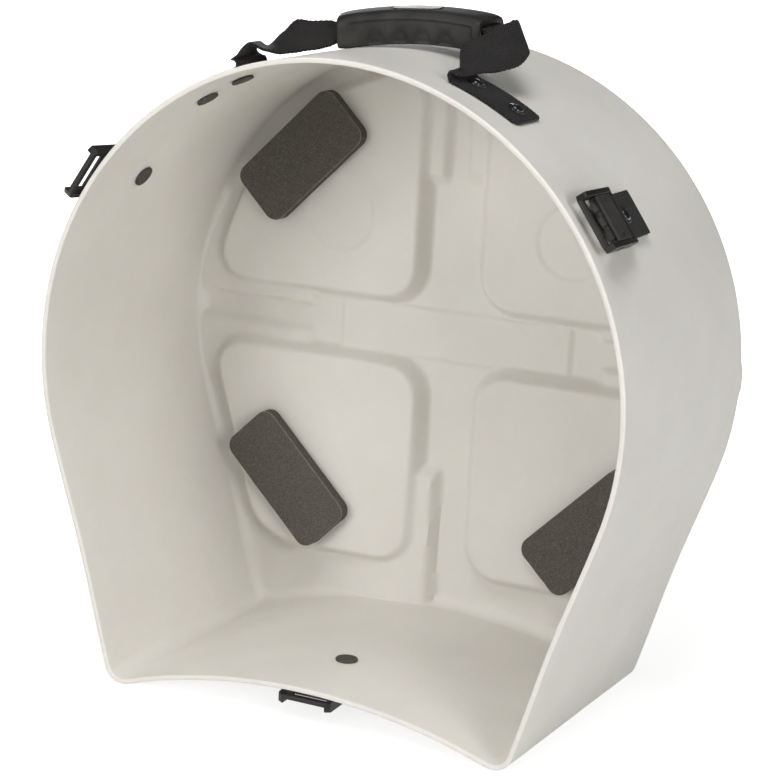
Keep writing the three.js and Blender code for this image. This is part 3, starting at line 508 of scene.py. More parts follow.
# %% Heights of the rear wall
LEDGE_START, LEDGE_FADE, VALLEY, LEAST_TURN = 11.0, (30, 100), 3.0, 0.01
PANEL_SLOPE, POCKET_SLOPE, RIB_SLOPE, PANEL_WALL = (-2.2, 7.6), (-4.6, 6.2), (6.6, 12.6), 4.5
PLATE_ACROSS, PLATE_UP, PLATE_EASE, PLATE_RISE = 89.0, 19.0, 2.2, 1.5
DISC_ACROSS, DISC_UP, DISC_RADIUS, DISC_EASE, DISC_SINK = 88.0, 79.0, 27.0, 2.4, 1.0
LEDGES = [
    (90, 1, 104, 6.5, 8.4, 14.6), (90, -1, 107, 6.5, 3.0, 7.4),
    (270, -1, 93, 8.5, 2.2, 8.4),
    (180, -1, 104, 4.5, 7.4, 11.4), (180, 1, 106, 4.5, 4.8, 11.6),
    (0, 1, 106, 4.5, 11.6, 15.6), (0, -1, 106, 4.5, 3.6, 9.6),
]


def ledge_height(x, z):
    height = np.zeros(np.shape(x))
    for angle, side, start, rise, foot, top in LEDGES:
        along, beside = from_arm(angle, x, z)
        beside = side * beside
        shape = step(start, start + LEDGE_START, along) * step(foot, top, beside)
        height = np.maximum(height, rise * (shape * (1 - step(*LEDGE_FADE, beside))))
    return height


def softly_higher(one, other):
    """The higher of two heights, with a soft valley where they meet, and as it was where either is zero."""
    turn = np.minimum(np.minimum(one, other), VALLEY) + LEAST_TURN
    return np.maximum(one, other) + np.maximum(turn - np.abs(one - other), 0) ** 2 / (4 * turn)


def floor_inside(x, z):
    panels = PANEL_RAISE * (1 - step(*PANEL_SLOPE, panel_distance(x, z)))
    plate = 1 - step(PLATE_ACROSS - PLATE_EASE, PLATE_ACROSS, np.abs(x))
    plate = plate * (1 - step(PLATE_UP - PLATE_EASE, PLATE_UP, np.abs(z)))
    away = np.hypot(np.abs(x) - DISC_ACROSS, z - DISC_UP)
    disc = 1 - step(DISC_RADIUS - DISC_EASE, DISC_RADIUS, away)
    return FLOOR - softly_higher(panels, ledge_height(x, z)) - PLATE_RISE * plate + DISC_SINK * disc


def floor_outside(x, z):
    pockets = 1 - step(*POCKET_SLOPE, panel_distance(x, z))
    ribs = 1 - step(*RIB_SLOPE, arm_distance(x, z))
    return SHELL_DEPTH - (SHELL_DEPTH - FACE - PANEL_WALL) * pockets + RIB_RISE * ribs


print("ledges:", len(LEDGES))


# %% [markdown]
# Real mouldings are never quite true. The sides get a slow waviness of a quarter of a millimetre at most,
# which shows only as a slight wander in the soft reflections. It starts a little behind the rim, where the
# lid has to fit. The rings lie closest where the surface turns: the two edges of the rear wall are lists of
# insets from the side.

# %% Shell surface
SHRINK_STEPS, SIDE_RINGS, RIM_ZONE, NEAR_RIM = 120, 34, 12.0, [2.0, 6.0]
WAVE_ROUND, WAVE_BACK, WAVE_HEIGHT, WAVE_START = 55.0, 70.0, 0.25, (4, 30)
OUTER_EDGE = (9.0, 7.2, 5.5, 4.2, 3.2, 2.6, 2.2, 1.6, 1.0, 0.5, 0.15)
INNER_EDGE = (0.15, 0.5, 1.0, 1.6, 2.4, 3.4, 4.6, 6.0, 7.4, 9.0)
RIB_END = (-0.4, 1.4)


def wavy(ring, depth, amount):
    """Moves each point of a ring in or out by a slow, repeatable noise."""
    middle = ring.mean(0)
    out = ring - middle
    out /= np.linalg.norm(out, axis=1)[:, None]
    shift = [noise.noise(Vector((x / WAVE_ROUND, z / WAVE_ROUND, depth / WAVE_BACK))) * amount
             for x, z in ring]
    return ring + out * np.array(shift)[:, None]


def fallen(inset):
    """How far a face has turned away at an inset from the side, inside the round of its edge."""
    left = max(REAR_ROUND - inset, 0.0)
    return REAR_ROUND - math.sqrt(REAR_ROUND ** 2 - left ** 2)


def ring_of(plan, depth):
    return np.column_stack([plan[:, 0], np.broadcast_to(depth, len(plan)), plan[:, 1]])


def side_rings(inset, depths):
    """Rings down one face of the side wall, which wave a little, except at the rim."""
    rings = []
    for depth in depths:
        amount = WAVE_HEIGHT * float(step(*WAVE_START, depth))
        rings.append(ring_of(wavy(outline(depth, inset), depth, amount), depth))
    return rings


# %% [markdown]
# The stack begins in the middle of the rear wall's outside, goes out to its edge and forward to the rim,
# turns over the rim in a half round, and runs back along the inside to the middle again. Near the middle
# the rings are the outline drawn smaller and smaller, lifted to the rear wall's height.

# %% Shell
def outer_rings():
    rings = []
    for share in np.linspace(0, 1, SHRINK_STEPS + 1)[1:-1]:
        plan = outline(SHELL_DEPTH, REAR_ROUND) * share
        rings.append(ring_of(plan, floor_outside(plan[:, 0], plan[:, 1])))
    for inset in OUTER_EDGE:
        plan = outline(SHELL_DEPTH, inset)
        rib = np.maximum(floor_outside(plan[:, 0], plan[:, 1]) - SHELL_DEPTH, 0)
        rings.append(ring_of(plan, SHELL_DEPTH - fallen(inset) + rib * float(step(*RIB_END, inset))))
    depths = list(np.linspace(SHELL_DEPTH - REAR_ROUND, RIM_ZONE, SIDE_RINGS))
    return rings + side_rings(0.0, depths + NEAR_RIM[::-1])


def rim_rings():
    rings = []
    for turn in np.radians((0, 25, 50, 75, 90, 105, 130, 155, 180)):
        reach = RIM_EASE * math.cos(turn)
        inset = RIM_EASE - reach if reach > 0 else SIDE_WALL - RIM_EASE - reach
        depth = RIM_EASE - RIM_EASE * math.sin(turn)
        rings.append(ring_of(outline(depth, inset), depth))
    return rings


def inner_rings():
    rings = side_rings(SIDE_WALL, NEAR_RIM + list(np.linspace(RIM_ZONE, FLOOR - REAR_ROUND, SIDE_RINGS)))
    for inset in INNER_EDGE:
        plan = outline(FLOOR, SIDE_WALL + inset)
        rise = np.maximum(ledge_height(plan[:, 0], plan[:, 1]), fallen(inset))
        rings.append(ring_of(plan, FLOOR - rise))
    for share in np.linspace(1, 0, SHRINK_STEPS + 1)[1:-1]:
        plan = outline(FLOOR, SIDE_WALL + REAR_ROUND) * share
        rings.append(ring_of(plan, floor_inside(plan[:, 0], plan[:, 1])))
    return rings


def make_shell():
    rings = outer_rings() + rim_rings() + inner_rings()
    faces = sheet_faces(len(rings), ROUND, wrap_columns=True) + fan_faces(len(rings), ROUND)
    ends = [[[0.0, float(middle(0.0, 0.0)), 0.0]] for middle in (floor_outside, floor_inside)]
    piece = new_piece("shell_moulding", np.concatenate(rings + ends), faces, SHELL_PLASTIC)
    keep_edges(piece)
    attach(piece, "case")
    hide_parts("case_shell")


make_shell()

# %% [markdown]
# ## Foam blocks
#
# Four blocks of foam are glued to the panels and hold the drum. Each is cut from a sheet, so its sides are
# straight, its edges are crisp and only its upright corners are round. A rounded box with a bevel would do,
# but here the block is a stack of outlines, so that its sides can wander by a quarter of a millimetre, as a
# knife does. Each level of the stack is an inset and a height over the panel. The two bands of faces at the
# top edge get the paler finish, a painted highlight along that edge. The pits come from the material.

# %% Foam blocks
PAD_LENGTH, PAD_WIDTH, PAD_THICK, PAD_CORNER, PAD_RADIUS = 98.0, 46.5, 9.7, 9.0, 166.0
PAD_LEVELS = [(0.1, 0.3), (0.0, 0.8), (0.0, 3.5), (0.0, 6.5), (0.0, 9.0), (0.08, PAD_THICK - 0.25)]
PAD_LEVELS += [(inset, PAD_THICK) for inset in (0.35, 0.9, 2.6, 5.5)]
# The faces between these rings, round the top edge, get the painted highlight.
HIGHLIGHT_LEVELS = (4, 6)
PADS = {"upper_right": 45, "upper_left": 135, "lower_left": 225, "lower_right": 315}
CORNER_STEPS, SIDE_LENGTH, FOAM_CREASE = 8, 3.0, 35
WANDER, WANDER_LENGTH, GLUED_HEIGHT = (0.25, 0.22), 9.0, 3.0


def rounded_plan(length, width, corner, each):
    """Points round a rectangle with round corners."""
    across, up = length / 2 - corner, width / 2 - corner
    corners = [arc_points(sx * across, sz * up, corner, math.radians(start), math.radians(start + 90), each)
               for sx, sz, start in ((1, 1, 0), (-1, 1, 90), (-1, -1, 180), (1, -1, 270))]
    corners = np.concatenate(corners)
    filled = []
    for point, after in zip(corners, np.roll(corners, -1, axis=0)):
        parts = max(1, int(np.linalg.norm(after - point) / SIDE_LENGTH))
        filled.extend(point + (after - point) * j / parts for j in range(parts))
    return np.array(filled)


def make_pad(name, angle):
    plan = rounded_plan(PAD_LENGTH, PAD_WIDTH, PAD_CORNER, CORNER_STEPS)
    count = len(plan)
    rings = [np.column_stack([plan[:, 0] * (1 - 2 * inset / PAD_LENGTH), np.full(count, -height),
                              plan[:, 1] * (1 - 2 * inset / PAD_WIDTH)]) for inset, height in PAD_LEVELS]
    rings += [rings[-1] * np.array([share, 1, share]) for share in (0.8, 0.6, 0.4, 0.2)]
    points = np.concatenate(rings)
    wobble = [noise.noise(Vector(p) / WANDER_LENGTH + Vector((angle, 0, 0))) for p in points.tolist()]
    points[:, 1] -= WANDER[1] * np.array(wobble) * (points[:, 1] < -GLUED_HEIGHT)
    points[:, 0] += WANDER[0] * np.array(wobble) * np.sign(points[:, 0])
    faces = sheet_faces(len(rings), count, wrap_columns=True) + end_faces(len(rings), count)
    turn = math.radians(angle)
    spin = np.array(Matrix.Rotation(math.pi / 2 - turn, 3, "Y"))
    points = points @ spin.T + [PAD_RADIUS * math.cos(turn), FACE - SEAT_GAP, PAD_RADIUS * math.sin(turn)]
    piece = new_piece("foam_block_" + name, points, faces, FOAM)
    # The faces round the top edge get the paler foam, a painted highlight along the edge.
    piece.data.materials.append(FOAM_EDGE_HIGHLIGHT)
    for face in piece.data.polygons[HIGHLIGHT_LEVELS[0] * count:HIGHLIGHT_LEVELS[1] * count]:
        face.material_index = 1
    keep_edges(piece, FOAM_CREASE)
    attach(piece, "case")
    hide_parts("foam_pad_" + name)


for pad_name, pad_angle in PADS.items():
    make_pad(pad_name, pad_angle)

# %% [markdown]
# ## Webbing
#
# All the webbing is one kind of thing: a flat band of a known width and thickness that follows a path and
# twists on the way. A curve with a bevel could draw it, but the width then turns by Blender's own rule.
# Here each station of the path says where the middle is and which way the width points, and the band's
# section is carried through them. Its two edges are drawn with the small bumps that the weft yarn makes
# where it turns back.

# %% Bands
WEFT_BUMP, SELVEDGE_THIN, SELVEDGE_POWER, WEBBING_CREASE = 0.22, 0.35, 8, 55


def smooth_path(points, fine):
    """A smooth line through points, each stretch cut into fine parts. Close points make a tight turn."""
    points = np.asarray(points, float)
    ends = np.vstack([2 * points[0] - points[1], points, 2 * points[-1] - points[-2]])
    line = []
    for before, start, end, after in zip(ends, ends[1:], ends[2:], ends[3:]):
        first, span, last = [max(np.linalg.norm(q - p), 1e-6) ** 0.5
                             for p, q in ((before, start), (start, end), (end, after))]
        lead = ((start - before) / first - (end - before) / (first + span)) * span + (end - start)
        trail = ((after - end) / last - (after - start) / (span + last)) * span + (end - start)
        for t in np.arange(fine) / fine:
            line.append(start + lead * t + (3 * (end - start) - 2 * lead - trail) * t ** 2
                        + (2 * (start - end) + lead + trail) * t ** 3)
    return np.array(line + [points[-1]])


def even_path(values, fine):
    """Values turned softly from each station to the next, with no overshoot."""
    values = np.asarray(values, float)
    shares = step(0, 1, np.arange(fine) / fine) * 0.5 + np.arange(fine) / fine * 0.5
    line = [a + (b - a) * t for a, b in zip(values, values[1:]) for t in shares]
    return np.array(line + [values[-1]])


def band(name, places, facings, widths, thicks, fine, yarns=20):
    """A woven band: places are its middle line, facings point across it, all in the case's own frame."""
    middle = smooth_path(places, fine)
    across = even_path(facings, fine)
    width = even_path(np.column_stack([widths, thicks]), fine)
    ahead = np.gradient(middle, axis=0)
    across /= np.linalg.norm(across, axis=1)[:, None]
    face = np.cross(ahead, across)
    face /= np.linalg.norm(face, axis=1)[:, None]
    run = np.concatenate([[0], np.cumsum(np.linalg.norm(np.diff(middle, axis=0), axis=1))])
    points, uv = [], []
    section = [(up * (2 * k / yarns - 1), up) for up in (1, -1) for k in range(yarns + 1)]
    for i, place in enumerate(middle):
        bump = WEFT_BUMP * math.cos(math.pi * run[i] / WEAVE_PITCH)
        for side, up in section:
            edge = abs(side) ** SELVEDGE_POWER
            reach = width[i, 0] / 2 * side + bump * edge * np.sign(side)
            rise = up * width[i, 1] / 2 * (1 - SELVEDGE_THIN * edge)
            points.append(place + across[i] * reach + face[i] * rise)
            uv.append((side * width[i, 0] / 2, run[i]))
    rows, columns = len(middle), len(section)
    faces = sheet_faces(rows, columns, wrap_columns=True) + end_faces(rows, columns, order=-1)
    piece = new_piece(name, points, faces, WEBBING, uv=uv)
    print(name, "length in mm:", round(run[-1]))
    keep_edges(piece, WEBBING_CREASE)
    return piece


# %% [markdown]
# ## The carrying strap
#
# The strap is riveted flat to the shell at both ends, folds back over its own rivets and runs through the
# grip. The grip has been pushed back, so each leg swings out and round before it goes in.
# `FOLDS` says for each side how many degrees from the strap's middle the fold lies, the radius of its bend,
# and how many degrees it turns. `TIP_CORNERS` cuts the corners of the tips: degrees in from the tip, and
# the share of the width there. Each row of `LEGS` is one station of a leg, read from the two edges of the
# webbing in the photograph: outward, back and up from the end of the fold in strap widths, then the way
# across the band, and how far the band has been folded to fit the grip, from 0 for flat to 1 for folded.

# %% Sizes of the strap and the grip
GRIP_LENGTH, GRIP_WIDTH, GRIP_HEIGHT, GRIP_ARCH, GRIP_BOW = 104.0, 32.0, 22.5, 4.0, 6.5
GRIP_TURN = Euler((math.radians(6.0), math.radians(-3.2), math.radians(5.0)), "XYZ").to_matrix().to_4x4()
GRIP_PLACE = Matrix.Translation((6.0, 107.0, 221.6)) @ GRIP_TURN
SLOT_WIDTH, SLOT_HEIGHT, SLOT_DROP = 24.0, 13.0, 1.0
FOLDED_WIDTH, FOLDED_THICK, EXIT_LEAN = 23.0, 3.4, math.radians(22)
FLAT_STEPS, FOLD_STEPS, GRIP_STATIONS, GRIP_OVERRUN, BAND_STEPS = 7, 5, 9, 1.016, 12
FOLDS = {1: (21.4, 4.4, 112.0), -1: (21.5, 3.4, 165.0)}
TIP_CORNERS = ((0.0, 0.74), (0.3, 0.89), (0.9, 0.98))
LEGS = {
    1: [
        (-0.10, 0.10, 0.03, (-0.43, 0.87, 0.25), 0),
        (-0.03, 0.31, 0.13, (-0.58, 0.73, 0.37), 0),
        (0.20, 0.56, 0.22, (-0.60, 0.63, 0.50), 0.1),
        (0.41, 0.80, 0.35, (-0.63, 0.48, 0.61), 0.25),
        (0.48, 1.11, 0.47, (-0.58, 0.50, 0.64), 0.6),
        (0.33, 1.29, 0.53, (-0.46, 0.71, 0.53), 0.95),
    ],
    -1: [
        (0.01, 0.03, 0.08, (0.22, 0.98, 0.02), 0),
        (-0.03, 0.17, 0.22, (0.32, 0.95, -0.05), 0.1),
        (-0.13, 0.44, 0.13, (0.45, 0.89, -0.01), 0.3),
        (-0.28, 0.73, 0.22, (0.48, 0.81, 0.34), 0.5),
        (-0.44, 0.94, 0.34, (0.44, 0.61, 0.65), 0.7),
        (-0.66, 1.07, 0.36, (0.47, 0.58, 0.67), 0.95),
        (-0.87, 1.20, 0.40, (0.39, 0.68, 0.62), 1),
    ],
}
print("stations on each leg, right and left:", [len(rows) for rows in LEGS.values()])

# %% [markdown]
# A station is a place, the way across the band there, and how far the band is folded. Those of a leg run
# from the tip over the rivets, round the fold and on to the grip. Those of the grip follow its bowed and
# arched channel: the band lies up against the ceiling, and comes down and leans toward the left end.

# %% Stations of the strap
def arch_at(across):
    return -GRIP_ARCH * (2 * across / GRIP_LENGTH) ** 2


def bowed(across, back, up):
    """The strap pulls the grip's ends forward, so its line bows backward and each section turns with it."""
    turn = -math.atan(8 * GRIP_BOW * across / GRIP_LENGTH ** 2)
    middle = -GRIP_BOW * (2 * across / GRIP_LENGTH) ** 2
    return Vector((across - back * math.sin(turn), middle + back * math.cos(turn), up))


def leg_stations(side):
    spread, bend, turned = FOLDS[side]
    tip = math.radians(STRAP_MIDDLE - side * STRAP_TIP)
    fold = math.radians(STRAP_MIDDLE - side * spread)
    seat = SEAT_GAP + STRAP_THICK / 2
    radius = RIM_RADIUS + FLARE * STRAP_DEPTH + seat
    stations = []
    cut = [tip + side * math.radians(beyond) for beyond, _ in TIP_CORNERS]
    for angle in cut + list(np.linspace(cut[-1], fold, FLAT_STEPS)[1:-1]):
        out = np.array([math.cos(angle), 0, math.sin(angle)])
        place = radius * out + np.array([0, STRAP_DEPTH, 0])
        stations.append((place, np.array([0, 1, 0]) + FLARE * out, 0.0))
    out = np.array([math.cos(fold), 0, math.sin(fold)])
    inward = np.array([-math.sin(fold), 0, math.cos(fold)]) * side
    middle = (radius + bend) * out + np.array([0, STRAP_DEPTH, 0])
    for turn in np.radians(np.linspace(0, turned, FOLD_STEPS)):
        place = middle - out * bend * math.cos(turn) + inward * bend * math.sin(turn)
        stations.append((place, np.array([0, 1, 0]) + FLARE * out, 0.0))
    start = stations[-1][0]
    for outward, back, up, facing, narrow in LEGS[side]:
        place = start + STRAP_WIDTH * np.array([side * outward, back, up])
        stations.append((place, np.array([side * facing[0], facing[1], facing[2]]), narrow))
    return stations


def grip_stations():
    stations = []
    for i in range(GRIP_STATIONS):
        across = GRIP_LENGTH * (0.5 - i / (GRIP_STATIONS - 1)) * GRIP_OVERRUN
        end = max(-2 * across / GRIP_LENGTH, 0) ** 2
        ceiling = SLOT_HEIGHT / 2 - SEAT_GAP - FOLDED_THICK / 2
        rise = arch_at(across) - SLOT_DROP + ceiling * (1 - end)
        lean = end * EXIT_LEAN
        facing = bowed(across, math.cos(lean), math.sin(lean)) - bowed(across, 0, 0)
        place = GRIP_PLACE @ bowed(across, 0, rise)
        stations.append((np.array(place), np.array(GRIP_TURN.to_3x3() @ facing), 1.0))
    return stations


# %% Strap
def make_strap():
    stations = leg_stations(1) + grip_stations() + leg_stations(-1)[::-1]
    narrow = np.array([s[2] for s in stations])
    corners = np.ones(len(stations))
    corners[:len(TIP_CORNERS)] = [width for _, width in TIP_CORNERS]
    corners[-len(TIP_CORNERS):] = [width for _, width in TIP_CORNERS[::-1]]
    piece = band("carrying_strap", [s[0] for s in stations], [s[1] for s in stations],
                 (STRAP_WIDTH + (FOLDED_WIDTH - STRAP_WIDTH) * narrow) * corners,
                 STRAP_THICK + (FOLDED_THICK - STRAP_THICK) * narrow, fine=BAND_STEPS)
    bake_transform(piece)
    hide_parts("handle_strap")


make_strap()

# %% [markdown]
# ## The grip
#
# The grip is moulded round the strap: a crowned bar with an arched back, a sunk panel on each side, and
# four shallow hollows for the fingers, open at the bottom. It is drawn as a fine tube of sections whose
# points are pushed in where a panel or a hollow lies. Its inside is the strap's channel, so the ends are
# open, as on the real one.

# %% The grip's skin
GRIP_POWER, END_EASE, END_POWER = 2 / 4.4, 0.1, 16
COLLAR, RECESS, RECESS_EASE, SHOULDER_EASE, SIDE_ZONE = 9.0, 1.2, 1.2, 1, (0.8, 0.97)
FINGERS, FINGER_PITCH, FINGER_WIDTH, FINGER_HEIGHT = 4, 17.0, 12.6, 10.4
FINGER_DEPTH, FINGER_SLOPE = 1.2, (-2.6, 0.8)
BADGE_LENGTH, BADGE_WIDTH, BADGE_DEPTH, BADGE_EASE, TOP_ZONE = 33.0, 11.5, 1.4, 0.5, (0.5, 0.8)


def squared(angle, width, height, power):
    """A point of an oval with squared-up corners: the lower the power, the squarer."""
    c, s = math.cos(angle), math.sin(angle)
    return math.copysign(abs(c) ** power, c) * width / 2, math.copysign(abs(s) ** power, s) * height / 2


def grip_point(across, angle):
    """A point of the grip's skin, in the grip's own frame."""
    share = abs(2 * across / GRIP_LENGTH)
    ending = 1 - END_EASE * share ** END_POWER
    back, up = [size * ending for size in squared(angle, GRIP_WIDTH, GRIP_HEIGHT, GRIP_POWER)]
    sideways = float(step(*SIDE_ZONE, abs(back) / (GRIP_WIDTH / 2)))
    start, end = COLLAR - GRIP_LENGTH / 2, GRIP_LENGTH / 2 - COLLAR * 2 / 3
    within = step(start - RECESS_EASE, start + RECESS_EASE, across)
    within = float(within * (1 - step(end - RECESS_EASE, end + RECESS_EASE, across)))
    shoulder = GRIP_HEIGHT / 4
    under = float(1 - step(shoulder - SHOULDER_EASE, shoulder + SHOULDER_EASE, up))
    sink = RECESS * (within * under * sideways)
    for i in range(FINGERS):
        beside = across - (i - (FINGERS - 1) / 2) * FINGER_PITCH
        height = up + GRIP_HEIGHT / 2
        top = FINGER_HEIGHT - FINGER_WIDTH / 2
        away = math.hypot(beside, max(height - top, 0)) - FINGER_WIDTH / 2
        sink += FINGER_DEPTH * float(1 - step(*FINGER_SLOPE, away)) * sideways
    back -= math.copysign(sink, back)
    if up > 0:
        along = max(abs(across) - (BADGE_LENGTH - BADGE_WIDTH) / 2, 0)
        seat = math.hypot(along, back) - BADGE_WIDTH / 2 - BADGE_EASE
        top = float(step(*TOP_ZONE, up / (GRIP_HEIGHT / 2)))
        up -= BADGE_DEPTH * float(1 - step(-BADGE_EASE, BADGE_EASE, seat)) * top
    return bowed(across, back, up + arch_at(across))


# %% [markdown]
# The tube runs along the skin, over a rounded lip into the strap's channel, back through it, and out over
# the other lip to where it began. So the grip is one closed surface with a true hole in it, and no boolean
# is needed.

# %% Grip
GRIP_STEPS, GRIP_SIDES, SLOT_STEPS, SLOT_POWER, GRIP_CREASE = 210, 180, 25, 0.3, 60
LIP_SHARE, LIP_POWER, LIP_STEPS = 0.012, 0.6, (0.12, 0.3, 0.5, 0.7, 0.88)
GRIP_ANGLES = [2 * math.pi * k / GRIP_SIDES for k in range(GRIP_SIDES)]


def slot_ring(across):
    """The outline of the strap's channel at one place along the grip."""
    outline_points = [squared(angle, SLOT_WIDTH, SLOT_HEIGHT, SLOT_POWER) for angle in GRIP_ANGLES]
    return [bowed(across, back, up + arch_at(across) - SLOT_DROP) for back, up in outline_points]


def lip(skin, inside, end):
    """The rounded edge from the skin to the channel, at an end this far from the grip's middle."""
    made = []
    for t in LIP_STEPS:
        bulge = end * LIP_SHARE * math.sin(math.pi * t) ** LIP_POWER
        made.append([a.lerp(b, t) + Vector((bulge, 0, 0)) for a, b in zip(skin, inside)])
    return made


def make_grip():
    half, body = GRIP_LENGTH / 2, 1 - LIP_SHARE
    skin = [[grip_point(half * (-1 + 2 * i / (GRIP_STEPS - 1)) * body, angle) for angle in GRIP_ANGLES]
            for i in range(GRIP_STEPS)]
    slot = [slot_ring(half * body * (1 - 2 * i / (SLOT_STEPS - 1))) for i in range(SLOT_STEPS)]
    loop = skin + lip(skin[-1], slot[0], half) + slot + lip(skin[0], slot[-1], -half)[::-1]
    points = [GRIP_PLACE @ point for ring in loop for point in ring]
    faces = sheet_faces(len(loop), GRIP_SIDES, wrap_rows=True, wrap_columns=True)
    piece = new_piece("grip_moulding", points, faces, GRIP_PLASTIC)
    keep_edges(piece, GRIP_CREASE)
    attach(piece, "handle")
    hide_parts("handle_grip")


make_grip()

# %% [markdown]
# A thin inlay lies in the recess on top. It is a plate with round ends, drawn as a stack of outlines like
# the foam, and it bows and arches with the grip. Each level is an inset and a height over the inlay's foot.

# %% Inlay
BADGE_STEPS = 24
BADGE_LEVELS = [(0.2, 0.0), (0.0, 0.25), (0.0, 0.75), (0.12, 0.95), (0.4, 1.05)]
BADGE_LEVELS += [(1.2, 1.1), (3.5, 1.15), (5.0, 1.16)]


def make_badge():
    foot = GRIP_HEIGHT / 2 - BADGE_DEPTH + SEAT_GAP
    radius, end = BADGE_WIDTH / 2, (BADGE_LENGTH - BADGE_WIDTH) / 2
    points = []
    for inset, height in BADGE_LEVELS:
        right = arc_points(end, 0, radius - inset, -math.pi / 2, math.pi / 2, BADGE_STEPS)
        left = arc_points(-end, 0, radius - inset, math.pi / 2, 3 * math.pi / 2, BADGE_STEPS)
        points += [GRIP_PLACE @ bowed(x, y, foot + height) for x, y in np.concatenate([right, left])]
    rows, columns = len(BADGE_LEVELS), 2 * (BADGE_STEPS + 1)
    faces = sheet_faces(rows, columns, wrap_columns=True) + end_faces(rows, columns, order=-1)
    piece = new_piece("grip_inlay", points, faces, BADGE_PLASTIC)
    keep_edges(piece)
    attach(piece, "handle")
    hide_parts("grip_badge")


make_badge()

# %% [markdown]
# ## Rivets and washers
#
# Turned parts are drawn by their profile and spun round: each point of it is a radius and a height over the
# shell. Each part stands on the shell along the outward direction at its own angle, which `shell_place`
# gives. Under the arched base a flat latch touches with its two sides alone, so its place is a little lower
# there.

# %% Places on the shell
def shell_place(angle, depth):
    """X runs round the shell, Y back along it and Z outward from its outer face."""
    turned = Matrix.Rotation(math.radians(90 - angle), 4, "Y")
    if angle == LATCHES["bottom"]:
        arch = (FOOT_SPAN / 2) ** 2 / (2 * ARCH_RISE)
        lift = (BUCKLE_WIDTH / 2) ** 2 / (2 * arch)
        return Matrix.Translation((0, depth, ARCH_RISE - BASE_DROP - lift)) @ turned
    radius = RIM_RADIUS + FLARE * depth
    place = (radius * math.cos(math.radians(angle)), depth, radius * math.sin(math.radians(angle)))
    return Matrix.Translation(place) @ turned @ Matrix.Rotation(math.atan(FLARE), 4, "X")


# %% Turned parts
TURNED_SIDES = 56


def turned_part(name, profile, place, material, node):
    points = []
    for radius, height in profile:
        for angle in (2 * math.pi * k / TURNED_SIDES for k in range(TURNED_SIDES)):
            points.append(place @ Vector((radius * math.cos(angle), radius * math.sin(angle), height)))
    points += [place @ Vector((0, 0, profile[end][1])) for end in (0, -1)]
    rows = len(profile)
    faces = sheet_faces(rows, TURNED_SIDES, wrap_columns=True) + fan_faces(rows, TURNED_SIDES)
    piece = new_piece(name, points, faces, material)
    keep_edges(piece)
    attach(piece, "case")
    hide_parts(node)


# %% [markdown]
# A rivet has a shank through the wall, a thin round flange that presses on the webbing, and a low dome. The
# washer inside is a shallow cup whose rim is turned down, and its line is a list of radii and depths below
# its face. `STRAP_SEAT` and `LATCH_SEAT` say how high over the shell a flange lies.

# %% Rivets and washers
FLANGE, DOME, DOME_FOOT, DOME_RISE, SHANK, SHANK_END = 5.6, 4.0, 0.9, 1.7, 2.0, -5.2
FLANGE_FOOT, FLANGE_BELLY, FLANGE_ROUND = (0.3, 0.15), 0.35, (0.25, 0.45)
FLANGE_TURNS, DOME_TURNS, DOME_FILLET = (0, 45, 80), (0, 15, 30, 45, 60, 75, 86), (0.5, 0.1, 0.05)
WASHER_LINE = [(2.35, 1.1), (2.35, 0.0), (6.9, 0.0), (7.35, 0.15), (7.5, 0.5), (7.45, 1.1), (7.2, 1.5)]
WASHER_LINE += [(6.6, 1.68), (4.6, 1.7), (4.3, 1.58), (3.2, 1.56)]
STRAP_RIVETS, LATCH_RIVET, WASHER_GAP = (("inner", 23.5), ("outer", 31.8)), 64.0, 0.6


def rivet_profile(seat):
    shank = [(SHANK, SHANK_END), (SHANK, seat)]
    foot = [(FLANGE - FLANGE_FOOT[0], seat), (FLANGE, seat + FLANGE_FOOT[1])]
    ease, rise = FLANGE_ROUND
    rounds = [(FLANGE - ease * (1 - math.cos(t)), seat + FLANGE_BELLY + rise * math.sin(t))
              for t in np.radians(FLANGE_TURNS)]
    wide, close, lift = DOME_FILLET
    fillet = [(DOME + wide, seat + DOME_FOOT), (DOME + close, seat + DOME_FOOT + lift)]
    crown = [(DOME * math.cos(t), seat + DOME_FOOT + DOME_RISE * math.sin(t))
             for t in np.radians(DOME_TURNS)]
    return shank + foot + rounds + fillet + crown


def washer_profile():
    face = -SIDE_WALL - WASHER_GAP
    return [(radius, face - below) for radius, below in WASHER_LINE]


STRAP_SEAT = SEAT_GAP + STRAP_THICK + SEAT_GAP
LOOP_LOW = BAR_HEIGHT - BAR_RADIUS - SEAT_GAP - LOOP_THICK
LATCH_SEAT = LOOP_LOW + 2 * LOOP_THICK + 2 * SEAT_GAP
for side_name, sign in (("right", 1), ("left", -1)):
    for row, spread in STRAP_RIVETS:
        spot = shell_place(STRAP_MIDDLE - sign * spread, STRAP_DEPTH)
        label = f"{side_name}_{row}"
        turned_part("strap_rivet_head_" + label, rivet_profile(STRAP_SEAT), spot, RIVET_ENAMEL,
                    "strap_rivet_" + label)
        turned_part("strap_washer_" + label, washer_profile(), spot, WASHER_METAL,
                    "strap_cap_" + label)
for latch_name, latch_angle in LATCHES.items():
    spot = shell_place(latch_angle, LATCH_RIVET)
    turned_part("latch_rivet_head_" + latch_name, rivet_profile(LATCH_SEAT), spot, RIVET_ENAMEL,
                "latch_rivet_" + latch_name)
    turned_part("latch_washer_" + latch_name, washer_profile(), spot, WASHER_METAL,
                "latch_cap_" + latch_name)

# %% [markdown]
# ## Latches
#
# Each latch is a cam buckle on a doubled loop of webbing. The loop goes round the buckle's rear bar and is
# held by one rivet. The buckle's frame and lever are mouldings with eased edges: each is drawn as bars with
# a section that runs across, and a bevel takes the sharpness off, as the mould does. A section is a list of
# points in depth and height, and a bar can end in another section than it starts with, which gives the
# frame its cut corners.

# %% Bars with eased edges
BEVEL_STEPS, BEVEL_ANGLE = 3, math.radians(38)


def arc_section(y, z, radius, start, end, steps):
    return [tuple(p) for p in arc_points(y, z, radius, math.radians(start), math.radians(end), steps)]


